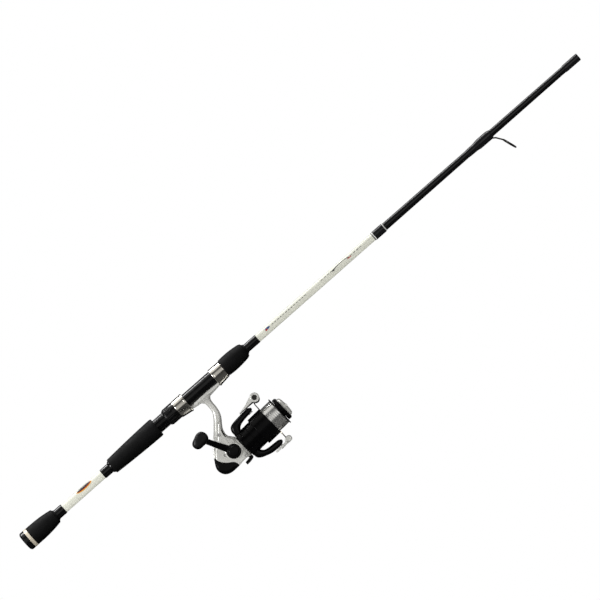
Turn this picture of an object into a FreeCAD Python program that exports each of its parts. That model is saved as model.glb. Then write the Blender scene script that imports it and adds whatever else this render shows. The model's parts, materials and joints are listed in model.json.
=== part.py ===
import FreeCAD, Part
import math
import os

import Sketcher

# A spinning rod's butt section with its reel, in millimetres.
# The rod lies along X with its tip end at +X, and the reel hangs below it, towards -Z.
# The origin is on the rod's axis, at the middle of the reel seat. The crank is on the -Y side.
# The reel's own frame is tilted a little: its x runs along the spool's axis, its y along the crank's.

DIMENSIONS = {
    # stations along the rod
    "butt_end": -271.8,
    "ring_rear": -264.7,
    "ring_front": -260.8,
    "butt_grip_front": -222.0,
    "butt_collar_front": -211.0,
    "rear_collar_rear": -150.8,
    "rear_grip_rear": -136.8,
    "rear_grip_front": -66.6,
    "nut_rear": -52.0,
    "moving_hood_rear": -36.5,
    "moving_hood_mouth": -21.0,
    "fixed_hood_mouth": 21.0,
    "fixed_hood_front": 37.0,
    "fore_grip_front": 72.5,
    "fore_collar_front": 90.0,
    "trim_rear": 269.5,
    "trim_front": 287.6,
    "guide_wrap_rear": 416.0,
    "guide_wrap_front": 453.6,
    "ferrule_rear": 565.8,
    "tip_end": 589.2,
    # the blank
    "blank_butt_x": -261.8,
    "blank_butt_radius": 5.75,
    "blank_tip_radius": 4.1,
    "blank_wall": 1.3,
    "socket_radius": 3.2,
    "socket_depth": 55.0,
    # grips and trim
    "butt_radius": 12.0,
    "butt_flat_radius": 8.5,
    "spigot_radius": 8.0,
    "grip_neck_radius": 9.1,
    "butt_collar_radius": 6.25,
    "rear_collar_radius": 6.1,
    "rear_grip_rear_radius": 9.7,
    "rear_grip_front_radius": 12.2,
    "fore_grip_radius": 11.5,
    "fore_grip_end_radius": 8.8,
    "fore_collar_radius": 5.35,
    "trim_radius": 5.5,
    "guide_wrap_radius": 5.9,
    "ferrule_radius": 4.8,
    # the reel seat
    "barrel_radius": 8.8,
    "thread_crest_radius": 8.85,
    "thread_pitch": 1.5,
    "thread_depth": 0.55,
    "nut_radius": 10.9,
    "nut_chamfer": 1.4,
    "nut_flute_radius": 1.0,
    "seat_clearance": 0.1,
    "hood_radius": 11.0,
    "hood_mouth_drop": 14.0,
    "hood_root_drop": 11.7,
    "fixed_hood_radius": 10.3,
    "fixed_hood_mouth_drop": 13.2,
    "fixed_hood_root_drop": 11.5,
    # the line guide
    "guide_leg_x": 451.0,
    "guide_lean": 18.0,
    "guide_centre_x": 461.75,
    "guide_centre_drop": 23.0,
    "guide_ring_radius": 8.5,
    "guide_wire_radius": 1.0,
    "guide_leg_radius": 0.9,
    "guide_foot_radius": 0.65,
    "guide_foot_drop": 5.15,
    # the reel's place and tilt
    "reel_x": -16.775,
    "reel_drop": 84.494,
    "reel_tilt": 3.0,
    # foot, stem and housing
    "foot_length": 58.0,
    "foot_width": 15.0,
    "foot_end_width": 10.0,
    "foot_saddle_radius": 8.9,
    "foot_end_radius": 10.6,
    "foot_mouth_radius": 12.1,
    "foot_middle_radius": 13.5,
    "foot_end_room": 12.4,
    "stem_width": 9.0,
    "housing_left": -10.5,
    "housing_right": 13.0,
    "housing_wall": 1.8,
    "housing_front": 11.6,
    "cavity_front": 11.05,
    "cover_face": -13.0,
    "screw_boss_radius": 2.6,
    "screw_boss_depth": 4.0,
    "screw_hole_depth": 3.6,
    "screw_radius": 0.95,
    "cap_radius": 7.0,
    "cap_height": 2.2,
    "collar_radius": 13.2,
    "lever_axis_z": -8.0,
    "lever_shaft_radius": 1.1,
    "dog_angle": 62.0,
    "dog_length": 2.9,
    # crank and gears
    "crank_rise": 4.3,
    "axle_radius": 2.4,
    "hex_hole_radius": 1.5,
    "axle_bearing_radius": 4.6,
    "shank_radius": 3.4,
    "bearing_right": 11.2,
    "axle_bearing_width": 2.8,
    "axle_bearing_left": 8.1,
    "gear_hub_left": 11.0,
    "gear_outer_radius": 10.9,
    "gear_inner_radius": 8.4,
    "gear_face": -2.55,
    "gear_back": -5.0,
    "gear_teeth": 43,
    "pinion_teeth": 10,
    "pinion_pitch_radius": 2.0,
    "pinion_neck_radius": 2.5,
    "tooth_height": 0.75,
    "pinion_rear": 6.6,
    "pinion_teeth_front": 10.3,
    "pinion_front": 27.0,
    "spur_near": 3.4,
    "spur_far": 5.4,
    "spur_depth": 1.0,
    "stub_radius": 1.2,
    "stub_end": 8.35,
    "pin_length": 0.5,
    "shaft_rear": -18.0,
    "shaft_front": 80.0,
    "slider_rear": -18.0,
    "slider_length": 8.0,
    "slider_height": 13.0,
    "slider_left": -1.3,
    "slider_right": 2.5,
    "bearing_rear": 12.1,
    "plate_thickness": 0.8,
    "ratchet_rear": 17.3,
    "ratchet_front": 18.8,
    "ratchet_radius": 6.2,
    "ratchet_teeth": 16,
    "oscillator_centre_x": -15.5,
    "oscillator_centre_z": 0.0,
    "oscillator_teeth": 38,
    "oscillator_drive_teeth": 23,
    "oscillator_throw": 6.5,
    "shaft_radius": 1.2,
    "running_gap": 0.06,
    "bearing_radius": 6.5,
    "bearing_width": 4.0,
    "nose_radius": 9.3,
    # the rotor
    "rotor_rear": 12.3,
    "rotor_disc_radius": 17.2,
    "cup_radius": 16.2,
    "cup_wall": 1.5,
    "cup_front": 42.5,
    "hub_rear": 19.6,
    "hub_front": 23.0,
    "recess_radius": 10.4,
    "arm_width": 15.0,
    "arm_tip_width": 9.4,
    "arm_top": 29.1,
    "arm_bottom": -30.3,
    "rotor_nut_radius": 4.6,
    # the bail
    "bail_pivot_x": 44.3,
    "bail_plane_x": 53.5,
    "bail_depth": 45.0,
    "bail_wire_radius": 0.65,
    "bail_top": 29.0,
    "bail_bottom": -27.5,
    "roller_x": 60.3,
    "roller_z": 32.1,
    "head_radius": 5.8,
    "head_left": -6.0,
    "head_right": -3.2,
    "plate_bottom": 29.3,
    "plate_top": 31.2,
    "holder_top": -30.5,
    "holder_bottom": -33.0,
    "pivot_radius": 1.5,
    "spring_radius": 2.9,
    "roller_radius": 3.6,
    "roller_screw_radius": 1.2,
    "roller_head_radius": 3.0,
    "boss_radius": 5.2,
    "boss_near": 1.6,
    "boss_far": 4.6,
    # the spool
    "skirt_rear": 35.5,
    "skirt_front": 54.5,
    "skirt_radius": 18.5,
    "skirt_wall": 1.2,
    "line_front": 69.5,
    "line_radius": 17.1,
    "arbor_radius": 12.6,
    "lip_front": 70.8,
    "lip_radius": 18.75,
    "knob_rear": 71.4,
    "knob_front": 76.5,
    "drag_knob_radius": 15.0,
    "dome_radius": 12.3,
    "dome_front": 81.5,
    "chamber_radius": 10.4,
    "chamber_floor": 58.5,
    "spool_hub_rear": 49.0,
    "spool_hub_radius": 4.5,
    "click_radius": 8.0,
    "washer_thickness": 0.8,
    "boss_press_radius": 8.8,
    # the crank arm and its knob
    "hub_radius": 8.9,
    "hub_inner": 27.0,
    "hub_outer": 35.5,
    "crank_length": 40.0,
    "crank_angle": 115.3,
    "arm_end": 46.0,
    "arm_thickness": 4.0,
    "arm_root_width": 8.6,
    "crank_tip_width": 6.6,
    "hub_cap_radius": 6.0,
    "knob_post_radius": 1.8,
    "knob_inner": 48.0,
    "knob_outer": 69.5,
}

# The origin planes of a body: which way a sketch on each one faces along its axis.
FACING = {"XY_Plane": 1, "XZ_Plane": -1, "YZ_Plane": 1}


class Size:
    """A number together with the sheet formula that gives it."""

    def __init__(self, value, formula):
        self.value = float(value)
        self.formula = formula

    def __add__(self, other):
        return Size(self.value + number(other), f"({self.formula} + {formula(other)})")

    def __radd__(self, other):
        return Size(number(other) + self.value, f"({formula(other)} + {self.formula})")

    def __sub__(self, other):
        return Size(self.value - number(other), f"({self.formula} - {formula(other)})")

    def __rsub__(self, other):
        return Size(number(other) - self.value, f"({formula(other)} - {self.formula})")

    def __mul__(self, other):
        return Size(self.value * number(other), f"({self.formula} * {formula(other)})")

    def __rmul__(self, other):
        return self * other

    def __truediv__(self, other):
        return Size(self.value / number(other), f"({self.formula} / {formula(other)})")

    def __neg__(self):
        return Size(-self.value, f"(0 - {self.formula})")


def number(size):
    """The plain value of a Size or a number."""
    return size.value if isinstance(size, Size) else float(size)


def formula(size):
    """The sheet formula of a Size or a number."""
    return size.formula if isinstance(size, Size) else f"({float(size):.6f})"


class Sheet:
    """The driving dimensions, each one readable as an attribute."""

    def __init__(self, document):
        self.cells = document.addObject("Spreadsheet::Sheet", "dims")
        self.sizes = {}
        for row, (alias, value) in enumerate(DIMENSIONS.items(), start=1):
            self.cells.set(f"A{row}", alias)
            self.cells.set(f"B{row}", str(value))
            self.cells.setAlias(f"B{row}", alias)
            self.sizes[alias] = Size(value, f"dims.{alias}")

    def __getattr__(self, alias):
        return self.sizes[alias]


doc = FreeCAD.newDocument("rod_and_reel")
d = Sheet(doc)
doc.recompute()

REEL = FreeCAD.Placement(
    FreeCAD.Vector(d.reel_x.value, 0, -d.reel_drop.value),
    FreeCAD.Rotation(FreeCAD.Vector(0, 1, 0), -d.reel_tilt.value),
)
ROD = FreeCAD.Placement()
# The crank's frame: x along the crank's axis, away from the housing, and z up.
CRANK = REEL.multiply(
    FreeCAD.Placement(
        FreeCAD.Vector(0, 0, d.crank_rise.value), FreeCAD.Rotation(FreeCAD.Vector(0, 0, 1), -90)
    )
)
# The same, turned so that z runs along the crank's arm.
ARM = CRANK.multiply(
    FreeCAD.Placement(
        FreeCAD.Vector(), FreeCAD.Rotation(FreeCAD.Vector(1, 0, 0), d.crank_angle.value - 90)
    )
)
nodes = []


# ---------------------------------------------------------------- helpers


def bind(feature, name, size):
    """Set one property, from the sheet where the size comes from it."""
    setattr(feature, name, number(size))
    if isinstance(size, Size):
        feature.setExpression(name, size.formula)


def as_node(feature, label):
    """Name a finished sub-part, so that it is written to its own file."""
    feature.Label = label
    nodes.append(feature)
    return feature


def new_body(label, frame=ROD, is_node=True):
    body = doc.addObject("PartDesign::Body", label)
    body.Placement = frame
    if is_node:
        as_node(body, label)
    return body


def origin_feature(body, role):
    return next(item for item in body.Origin.OriginFeatures if item.Role == role)


def new_sketch(body, plane, level=0):
    """An empty sketch on an origin plane, moved along the plane's own axis to level."""
    sketch = body.newObject("Sketcher::SketchObject", f"{body.Name}_sketch")
    sketch.AttachmentSupport = (origin_feature(body, plane), [""])
    sketch.MapMode = "FlatFace"
    offset = FACING[plane] * level
    sketch.AttachmentOffset = FreeCAD.Placement(FreeCAD.Vector(0, 0, number(offset)), FreeCAD.Rotation())
    if isinstance(offset, Size):
        sketch.setExpression("AttachmentOffset.Base.z", offset.formula)
    return sketch


def pin_point(sketch, geometry, end, point):
    """Hold one end of a sketch line or arc, or a circle's centre, at a point from the sheet."""
    for kind, size in zip(("DistanceX", "DistanceY"), point):
        index = sketch.addConstraint(Sketcher.Constraint(kind, -1, 1, geometry, end, number(size)))
        name_and_bind(sketch, index, size)


def name_and_bind(sketch, index, size):
    if isinstance(size, Size):
        name = f"size{index}"
        sketch.renameConstraint(index, name)
        sketch.setExpression(f"Constraints.{name}", size.formula)


def outline(body, plane, points, level=0):
    """A closed outline. A point is (u, v), or (u, v, crown) where the edge that leaves it is an
    arc that stands that far proud on its right-hand side (or left, where crown is negative)."""
    sketch = new_sketch(body, plane, level)
    ends = []
    count = len(points)
    for index, point in enumerate(points):
        start = FreeCAD.Vector(number(point[0]), number(point[1]), 0)
        following = points[(index + 1) % count]
        stop = FreeCAD.Vector(number(following[0]), number(following[1]), 0)
        if len(point) == 3 and number(point[2]) != 0:
            chord = stop - start
            right = FreeCAD.Vector(chord.y, -chord.x, 0).normalize()
            crown = number(point[2])
            middle = (start + stop) * 0.5 + right * crown
            sketch.addGeometry(Part.Arc(start, middle, stop), False)
            ends.append((1, 2) if crown > 0 else (2, 1))
        else:
            sketch.addGeometry(Part.LineSegment(start, stop), False)
            ends.append((1, 2))
    for index in range(count):
        following = (index + 1) % count
        joint = ("Coincident", index, ends[index][1], following, ends[following][0])
        sketch.addConstraint(Sketcher.Constraint(*joint))
    for index, point in enumerate(points):
        pin_point(sketch, index, ends[index][0], point[:2])
        if len(point) == 3 and number(point[2]) != 0:
            following = points[(index + 1) % count]
            radius = arc_radius(point, following)
            added = sketch.addConstraint(Sketcher.Constraint("Radius", index, number(radius)))
            name_and_bind(sketch, added, radius)
    return sketch


def arc_radius(point, following):
    """The radius of the arc between two points, from its chord and its crown."""
    along = following[0] - point[0]
    across = following[1] - point[1]
    crown = point[2] if number(point[2]) > 0 else -point[2]
    return (along * along + across * across) / (crown * 8) + crown / 2


def circle(body, plane, centre, radius, level=0):
    sketch = new_sketch(body, plane, level)
    middle = FreeCAD.Vector(number(centre[0]), number(centre[1]), 0)
    sketch.addGeometry(Part.Circle(middle, FreeCAD.Vector(0, 0, 1), number(radius)), False)
    pin_point(sketch, 0, 3, centre)
    index = sketch.addConstraint(Sketcher.Constraint("Radius", 0, number(radius)))
    name_and_bind(sketch, index, radius)
    return sketch


def pad(body, sketch, plane, length):
    """Material from the sketch's level, the given length along the plane's own axis."""
    feature = body.newObject("PartDesign::Pad", f"{body.Name}_pad")
    feature.Profile = sketch
    feature.Reversed = FACING[plane] < 0
    bind(feature, "Length", length)
    return feature


def pocket(body, sketch, plane, length):
    """A cut from the sketch's level, the given length along the plane's own axis."""
    doc.recompute()
    before = body.Shape.Volume
    feature = body.newObject("PartDesign::Pocket", f"{body.Name}_pocket")
    feature.Profile = sketch
    feature.Reversed = FACING[plane] > 0
    bind(feature, "Length", length)
    doc.recompute()
    if not body.Shape.Volume < before:
        raise RuntimeError(f"{body.Label}: a pocket cuts nothing")
    return feature


def ring_pattern(body, feature, axis, count):
    """Repeat a feature evenly round one of the body's own axes."""
    pattern = body.newObject("PartDesign::PolarPattern", f"{body.Name}_pattern")
    pattern.Originals = [feature]
    pattern.Axis = (origin_feature(body, axis), [""])
    pattern.Angle = 360
    pattern.Occurrences = int(number(count))
    body.Tip = pattern
    return pattern


def turned(label, profile, frame=ROD, is_node=True):
    """A body turned about X from points (x, radius), with crowns as in outline."""
    body = new_body(label, frame, is_node)
    sketch = outline(body, "XZ_Plane", profile)
    feature = body.newObject("PartDesign::Revolution", f"{body.Name}_turn")
    feature.Profile = sketch
    feature.ReferenceAxis = (sketch, ["H_Axis"])
    feature.Angle = 360
    return body


def tube(label, rear, front, outer, inner, frame=ROD, is_node=True):
    profile = [(rear, inner), (front, inner), (front, outer), (rear, outer)]
    return turned(label, profile, frame, is_node)


def slab(label, plane, points, low, high, frame=ROD, is_node=True):
    """A plate with an outline on one plane, between two levels along that plane's axis."""
    body = new_body(label, frame, is_node)
    pad(body, outline(body, plane, points, low), plane, high - low)
    return body


def rod_bar(label, plane, centre, radius, low, high, frame=ROD, is_node=True):
    """A round bar square to one plane, between two levels along that plane's axis."""
    body = new_body(label, frame, is_node)
    pad(body, circle(body, plane, centre, radius, low), plane, high - low)
    return body


def joined(label, parts, is_node=True):
    """One solid from several overlapping ones."""
    feature = doc.addObject("Part::MultiFuse", label)
    feature.Shapes = parts
    feature.Refine = True
    return as_node(feature, label) if is_node else feature


def cut(label, base, tool, is_node=True):
    feature = doc.addObject("Part::Cut", label)
    feature.Base = base
    feature.Tool = tool
    doc.recompute()
    if not feature.Shape.Volume < base.Shape.Volume:
        raise RuntimeError(f"{label}: a cut takes nothing away")
    return as_node(feature, label) if is_node else feature


def shared(label, first, second, is_node=True):
    feature = doc.addObject("Part::Common", label)
    feature.Base = first
    feature.Tool = second
    return as_node(feature, label) if is_node else feature


def group(label, parts):
    """Separate solids that share one node, such as a set of screws."""
    feature = doc.addObject("Part::Compound", label)
    feature.Links = parts
    return as_node(feature, label)


def blank_radius(x):
    """The blank's outer radius at a station: one even taper from butt to tip."""
    along = (x - d.blank_butt_x) / (d.tip_end - d.blank_butt_x)
    return d.blank_butt_radius + (d.blank_tip_radius - d.blank_butt_radius) * along


# ---------------------------------------------------------------- the rod


def sleeve(label, outer, is_node=True):
    """A piece that is fitted round the blank: outer points (x, radius), bored to the taper."""
    rear = outer[0][0]
    front = outer[-1][0]
    profile = [(front, blank_radius(front)), (rear, blank_radius(rear))]
    return turned(label, profile + list(outer), is_node=is_node)


def rod_blank():
    """A hollow taper. The bore opens into a straight socket at the tip end."""
    socket_floor = d.tip_end - d.socket_depth
    bore = d.blank_butt_radius - d.blank_wall
    return turned(
        "rod_blank",
        [
            (d.blank_butt_x, bore),
            (socket_floor, d.socket_radius - 0.25),
            (socket_floor, d.socket_radius),
            (d.tip_end, d.socket_radius),
            (d.tip_end, d.blank_tip_radius),
            (d.blank_butt_x, d.blank_butt_radius),
        ],
    )


def butt_pieces():
    turned(
        "butt_cap",
        [
            (d.butt_end, 0),
            (d.ring_front - 1, 0),
            (d.ring_front - 1, d.spigot_radius),
            (d.ring_rear, d.spigot_radius),
            (d.ring_rear, d.butt_radius),
            (d.butt_end + 2.2, d.butt_radius, 0.6),
            (d.butt_end, d.butt_flat_radius),
        ],
    )
    tube("butt_ring", d.ring_rear, d.ring_front, d.butt_radius, d.spigot_radius)
    shoulder = d.butt_grip_front - 2.5
    bore = blank_radius(d.butt_grip_front)
    turned(
        "butt_grip",
        [
            (d.ring_front, d.blank_butt_radius),
            (d.butt_grip_front, bore),
            (d.butt_grip_front, d.butt_collar_radius + 0.3, -0.5),
            (shoulder, d.grip_neck_radius, 0.7),
            (d.ring_front + 8, d.butt_radius - 0.15, 0.05),
            (d.ring_front, d.butt_radius - 0.1),
        ],
    )
    sleeve(
        "butt_collar",
        [
            (d.butt_grip_front, d.butt_collar_radius, 0),
            (d.butt_collar_front - 0.8, d.butt_collar_radius),
            (d.butt_collar_front, d.butt_collar_radius - 0.5),
        ],
    )


def rear_grip_pieces():
    sleeve(
        "rear_collar",
        [
            (d.rear_collar_rear, d.rear_collar_radius - 0.4),
            (d.rear_collar_rear + 0.8, d.rear_collar_radius),
            (d.rear_grip_rear - 2.6, d.rear_collar_radius, -0.4),
            (d.rear_grip_rear, d.rear_grip_rear_radius - 1.8),
        ],
    )
    sleeve(
        "rear_grip",
        [
            (d.rear_grip_rear, d.rear_grip_rear_radius - 0.9, -0.25),
            (d.rear_grip_rear + 1.4, d.rear_grip_rear_radius, -0.35),
            (d.rear_grip_front - 4, d.rear_grip_front_radius, -0.2),
            (d.rear_grip_front, d.rear_grip_front_radius - 0.6),
        ],
    )


def fore_grip_pieces():
    shoulder = d.fore_grip_front - 3
    sleeve(
        "fore_grip",
        [
            (d.fixed_hood_front, d.fore_grip_radius - 1.1, -0.2),
            (d.fixed_hood_front + 2, d.fore_grip_radius - 0.35, -0.75),
            (shoulder - 5, d.fore_grip_radius - 1.2, -0.3),
            (shoulder, d.fore_grip_end_radius, 0.6),
            (d.fore_grip_front, d.fore_collar_radius + 0.5),
        ],
    )
    sleeve(
        "fore_collar",
        [
            (d.fore_grip_front, d.fore_collar_radius),
            (d.fore_collar_front - 0.6, d.fore_collar_radius),
            (d.fore_collar_front, d.fore_collar_radius - 0.2),
        ],
    )


def wraps():
    """Thread wraps under a clear coat, each one a thin rounded sleeve."""
    sleeve(
        "trim_wrap",
        [
            (d.trim_rear, blank_radius(d.trim_rear) + 0.05, -0.15),
            (d.trim_rear + 2, d.trim_radius),
            (d.trim_front - 2, d.trim_radius, -0.15),
            (d.trim_front, blank_radius(d.trim_front) + 0.05),
        ],
    )
    sleeve(
        "ferrule_wrap",
        [
            (d.ferrule_rear, blank_radius(d.ferrule_rear) + 0.05, -0.1),
            (d.ferrule_rear + 3, d.ferrule_radius - 0.1),
            (d.tip_end - 0.6, d.ferrule_radius),
            (d.tip_end, d.ferrule_radius - 0.4),
        ],
    )


def guide_wrap(guide):
    """The thread wrap that holds the guide's foot down on the blank."""
    solid = sleeve(
        "guide_wrap_solid",
        [
            (d.guide_wrap_rear, blank_radius(d.guide_wrap_rear) + 0.05, -0.1),
            (d.guide_wrap_rear + 12, blank_radius(d.guide_wrap_rear) + 0.45, -0.1),
            (d.guide_wrap_rear + 20, d.guide_wrap_radius),
            (d.guide_wrap_front - 6, d.guide_wrap_radius, -0.3),
            (d.guide_wrap_front, blank_radius(d.guide_wrap_front) + 0.1),
        ],
        is_node=False,
    )
    cut("guide_wrap", solid, guide)


def line_guide():
    """A single-foot guide: a bent wire leg, a leaning ring frame and a hard insert in it."""
    lean = math.radians(d.guide_lean.value)
    down = FreeCAD.Vector(math.sin(lean), 0, -math.cos(lean))
    centre = FreeCAD.Vector(d.guide_centre_x.value, 0, -d.guide_centre_drop.value)
    frame_ring = doc.addObject("Part::Torus", "guide_frame_ring")
    bind(frame_ring, "Radius1", d.guide_ring_radius)
    bind(frame_ring, "Radius2", d.guide_wire_radius)
    turn = FreeCAD.Rotation(FreeCAD.Vector(0, 1, 0), 90 - d.guide_lean.value)
    frame_ring.Placement = FreeCAD.Placement(centre, turn)
    insert = doc.addObject("Part::Torus", "guide_ring_insert")
    bind(insert, "Radius1", d.guide_ring_radius - d.guide_wire_radius * 1.3)
    bind(insert, "Radius2", d.guide_wire_radius * 0.75)
    insert.Placement = FreeCAD.Placement(centre, turn)
    top = centre - down * d.guide_ring_radius.value
    foot_z = -d.guide_foot_drop.value
    foot_rear = FreeCAD.Vector(d.guide_wrap_rear.value + 16, 0, foot_z)
    foot_front = FreeCAD.Vector(d.guide_leg_x.value, 0, foot_z - 0.2)
    knee = FreeCAD.Vector(d.guide_leg_x.value + 3.2, 0, foot_z - 2.5)
    wires = [
        wire_bar(foot_rear, foot_front, d.guide_foot_radius),
        wire_bar(foot_front, knee, d.guide_leg_radius),
        wire_bar(knee, top, d.guide_leg_radius),
    ]
    knuckles = [ball(point, d.guide_leg_radius * 1.03) for point in (foot_front, knee)]
    frame = joined("guide_frame_raw", [frame_ring] + wires + knuckles, is_node=False)
    guide = cut("guide_frame", frame, insert)
    as_node(insert, "guide_ring")
    guide_wrap(guide)


def wire_bar(start, stop, radius):
    """A round bar from one point to another."""
    along = stop - start
    bar = doc.addObject("Part::Cylinder", "wire_bar")
    bind(bar, "Radius", radius)
    bar.Height = along.Length
    bar.Placement = FreeCAD.Placement(start, FreeCAD.Rotation(FreeCAD.Vector(0, 0, 1), along))
    return bar


def ball(centre, radius):
    sphere = doc.addObject("Part::Sphere", "ball")
    bind(sphere, "Radius", radius)
    sphere.Placement = FreeCAD.Placement(centre, FreeCAD.Rotation())
    return sphere


# ---------------------------------------------------------------- the reel seat


def seat_barrel():
    """The seat's tube. Its rear half has ridges where the nut runs."""
    rear = d.rear_grip_front
    thread_end = d.moving_hood_mouth
    barrel = sleeve(
        "seat_barrel",
        [
            (rear, d.thread_crest_radius),
            (thread_end, d.thread_crest_radius),
            (thread_end + 0.5, d.barrel_radius),
            (d.fixed_hood_front, d.barrel_radius),
        ],
    )
    root = d.thread_crest_radius - d.thread_depth
    quarter = d.thread_pitch / 4
    groove = [
        (rear + quarter, d.thread_crest_radius + 0.2),
        (rear + quarter * 1.8, root),
        (rear + quarter * 2.2, root),
        (rear + quarter * 3, d.thread_crest_radius + 0.2),
    ]
    doc.recompute()
    feature = barrel.newObject("PartDesign::Groove", "thread_groove")
    sketch = outline(barrel, "XZ_Plane", groove)
    feature.Profile = sketch
    feature.ReferenceAxis = (sketch, ["H_Axis"])
    feature.Angle = 360
    turns = int((thread_end.value - rear.value) / d.thread_pitch.value)
    ridges = barrel.newObject("PartDesign::LinearPattern", "thread_ridges")
    ridges.Originals = [feature]
    ridges.Direction = (origin_feature(barrel, "X_Axis"), [""])
    ridges.Length = d.thread_pitch.value * (turns - 1)
    ridges.Occurrences = turns
    barrel.Tip = ridges


def hood_nut():
    bore = d.thread_crest_radius + d.seat_clearance
    nut = turned(
        "hood_nut",
        [
            (d.nut_rear, bore),
            (d.moving_hood_rear, bore),
            (d.moving_hood_rear, d.nut_radius),
            (d.nut_rear + 2.5, d.nut_radius),
            (d.nut_rear, d.nut_radius - d.nut_chamfer),
        ],
    )
    flute = circle(nut, "YZ_Plane", (0, d.nut_radius + 0.45), d.nut_flute_radius, d.nut_rear)
    ring_pattern(nut, pocket(nut, flute, "YZ_Plane", 11), "X_Axis", 18)


def hood(label, rear, front, radius, drops, bore, foot_room):
    """A metal hood: a tube with a sloping bulge below it, which takes one end of the reel's foot.
    drops are how far the bulge hangs below the axis at its rear and front ends."""
    bulge_radius = radius * 0.93
    ends = [
        FreeCAD.Vector(x.value, 0, -(number(drop) - bulge_radius.value))
        for x, drop in zip((rear, front), drops)
    ]
    along = (ends[1] - ends[0]).normalize()
    bulge = wire_bar(ends[0] - along * 5, ends[1] + along * 5, bulge_radius)
    round_part = rod_bar(f"{label}_round", "YZ_Plane", (0, 0), radius, rear, front, is_node=False)
    limits = rod_bar(f"{label}_limits", "YZ_Plane", (0, 0), radius + 6, rear, front, is_node=False)
    trimmed = shared(f"{label}_bulge", bulge, limits, is_node=False)
    solid = joined(f"{label}_solid", [round_part, trimmed], is_node=False)
    hollow = rod_bar(f"{label}_bore", "YZ_Plane", (0, 0), bore, rear - 1, front + 1, is_node=False)
    room = joined(f"{label}_room", [hollow, foot_ring(f"{label}_foot", foot_room)], is_node=False)
    cut(label, solid, room)


def foot_ring(label, room):
    """The space that one end of the foot fills: part of a ring round the barrel."""
    low, high, half_width = room
    ring = tube(f"{label}_ring", low, high, d.foot_end_room, d.barrel_radius - 1, is_node=False)
    half = [(low, -half_width), (high, -half_width), (high, half_width), (low, half_width)]
    plan = slab(f"{label}_plan", "XY_Plane", half, -20, 0, is_node=False)
    return shared(f"{label}_space", ring, plan, is_node=False)


def hoods():
    room = d.foot_end_width / 2 + 0.3
    mouth = d.moving_hood_mouth
    hood(
        "moving_hood",
        d.moving_hood_rear,
        mouth,
        d.hood_radius,
        (d.hood_root_drop, d.hood_mouth_drop),
        d.thread_crest_radius + d.seat_clearance,
        (-(d.foot_length / 2) - 0.8, mouth + 1, room),
    )
    mouth = d.fixed_hood_mouth
    hood(
        "fixed_hood",
        mouth,
        d.fixed_hood_front,
        d.fixed_hood_radius,
        (d.fixed_hood_mouth_drop, d.fixed_hood_root_drop),
        d.barrel_radius,
        (mouth - 1, d.foot_length / 2 + 0.4, room),
    )


# ---------------------------------------------------------------- the reel's body and covers
# From here on the pieces are drawn in the reel's own frame, apart from the foot.


def foot():
    """The foot: part of a ring round the barrel, thickest over the stem, with rounded ends."""
    half = d.foot_length / 2
    profile = [
        (-half, d.foot_saddle_radius),
        (half, d.foot_saddle_radius),
        (half, d.foot_end_radius),
        (d.fixed_hood_mouth, d.foot_mouth_radius),
        (4, d.foot_middle_radius),
        (-10, d.foot_middle_radius),
        (d.moving_hood_mouth, d.foot_mouth_radius),
        (-half, d.foot_end_radius),
    ]
    ring = turned("foot_ring", profile, is_node=False)
    end = d.foot_end_width / 2
    side = d.foot_width / 2
    wide = 10
    narrow = d.fixed_hood_mouth - 1
    plan_points = [
        (-half, -end),
        (-narrow, -end),
        (-wide, -side),
        (wide, -side),
        (narrow, -end),
        (half, -end, 2),
        (half, end),
        (narrow, end),
        (wide, side),
        (-wide, side),
        (-narrow, end),
        (-half, end, 2),
    ]
    plan = slab("foot_plan", "XY_Plane", plan_points, -20, 0, is_node=False)
    return shared("foot", ring, plan, is_node=False)


def stem():
    """The stem: it drops from the foot, then sweeps back to the housing."""
    half = d.stem_width / 2
    points = [
        (8.5, 71.8),
        (13.6, 66, -0.6),
        (12.8, 53.9, -1.2),
        (6.5, 45.2),
        (-15, 24.3),
        (5, 22),
        (9.5, 33.5, -0.6),
        (16.5, 42.7, -1.2),
        (20.6, 53.5, -0.2),
        (22, 66, 0.8),
        (28, 71),
    ]
    return slab("stem", "XZ_Plane", points, -half, d.stem_width / 2, REEL, is_node=False)


# The seam between the housing and the rear cover, from its top to its lower end.
REAR_SEAM = [(-23.5, 13.7, -0.9), (-19.1, 2, -0.7), (-7.4, -12.6)]
# Where the side cover is screwed on, and the web that joins the middle screw's boss to the wall.
COVER_SCREWS = [(0.3, 29.5), (-10.8, 7.6), (6.5, -9.6)]
SCREW_WEB = [(-12.3, 7.0), (-9.3, 8.4), (-14.5, 21.5), (-18.5, 17.5)]


def housing_outline():
    """The housing's side view, from the stem's foot round by the rear cover to the rotor."""
    return [(0, 39.5), (-8.1, 31)] + REAR_SEAM + [
        (d.housing_front, -13.2),
        (d.housing_front, 16.6, -0.6),
        (6.3, 24, -0.9),
        (9.5, 33.5),
    ]


def cavity_outline():
    return [
        (-10, 25.5),
        (-21, 13),
        (-26, 6, -0.8),
        (-25.5, -5, -1.0),
        (-18, -10.4),
        (d.cavity_front, -11.4),
        (d.cavity_front, 15.4, -0.6),
        (4.5, 22.5),
    ]


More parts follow.
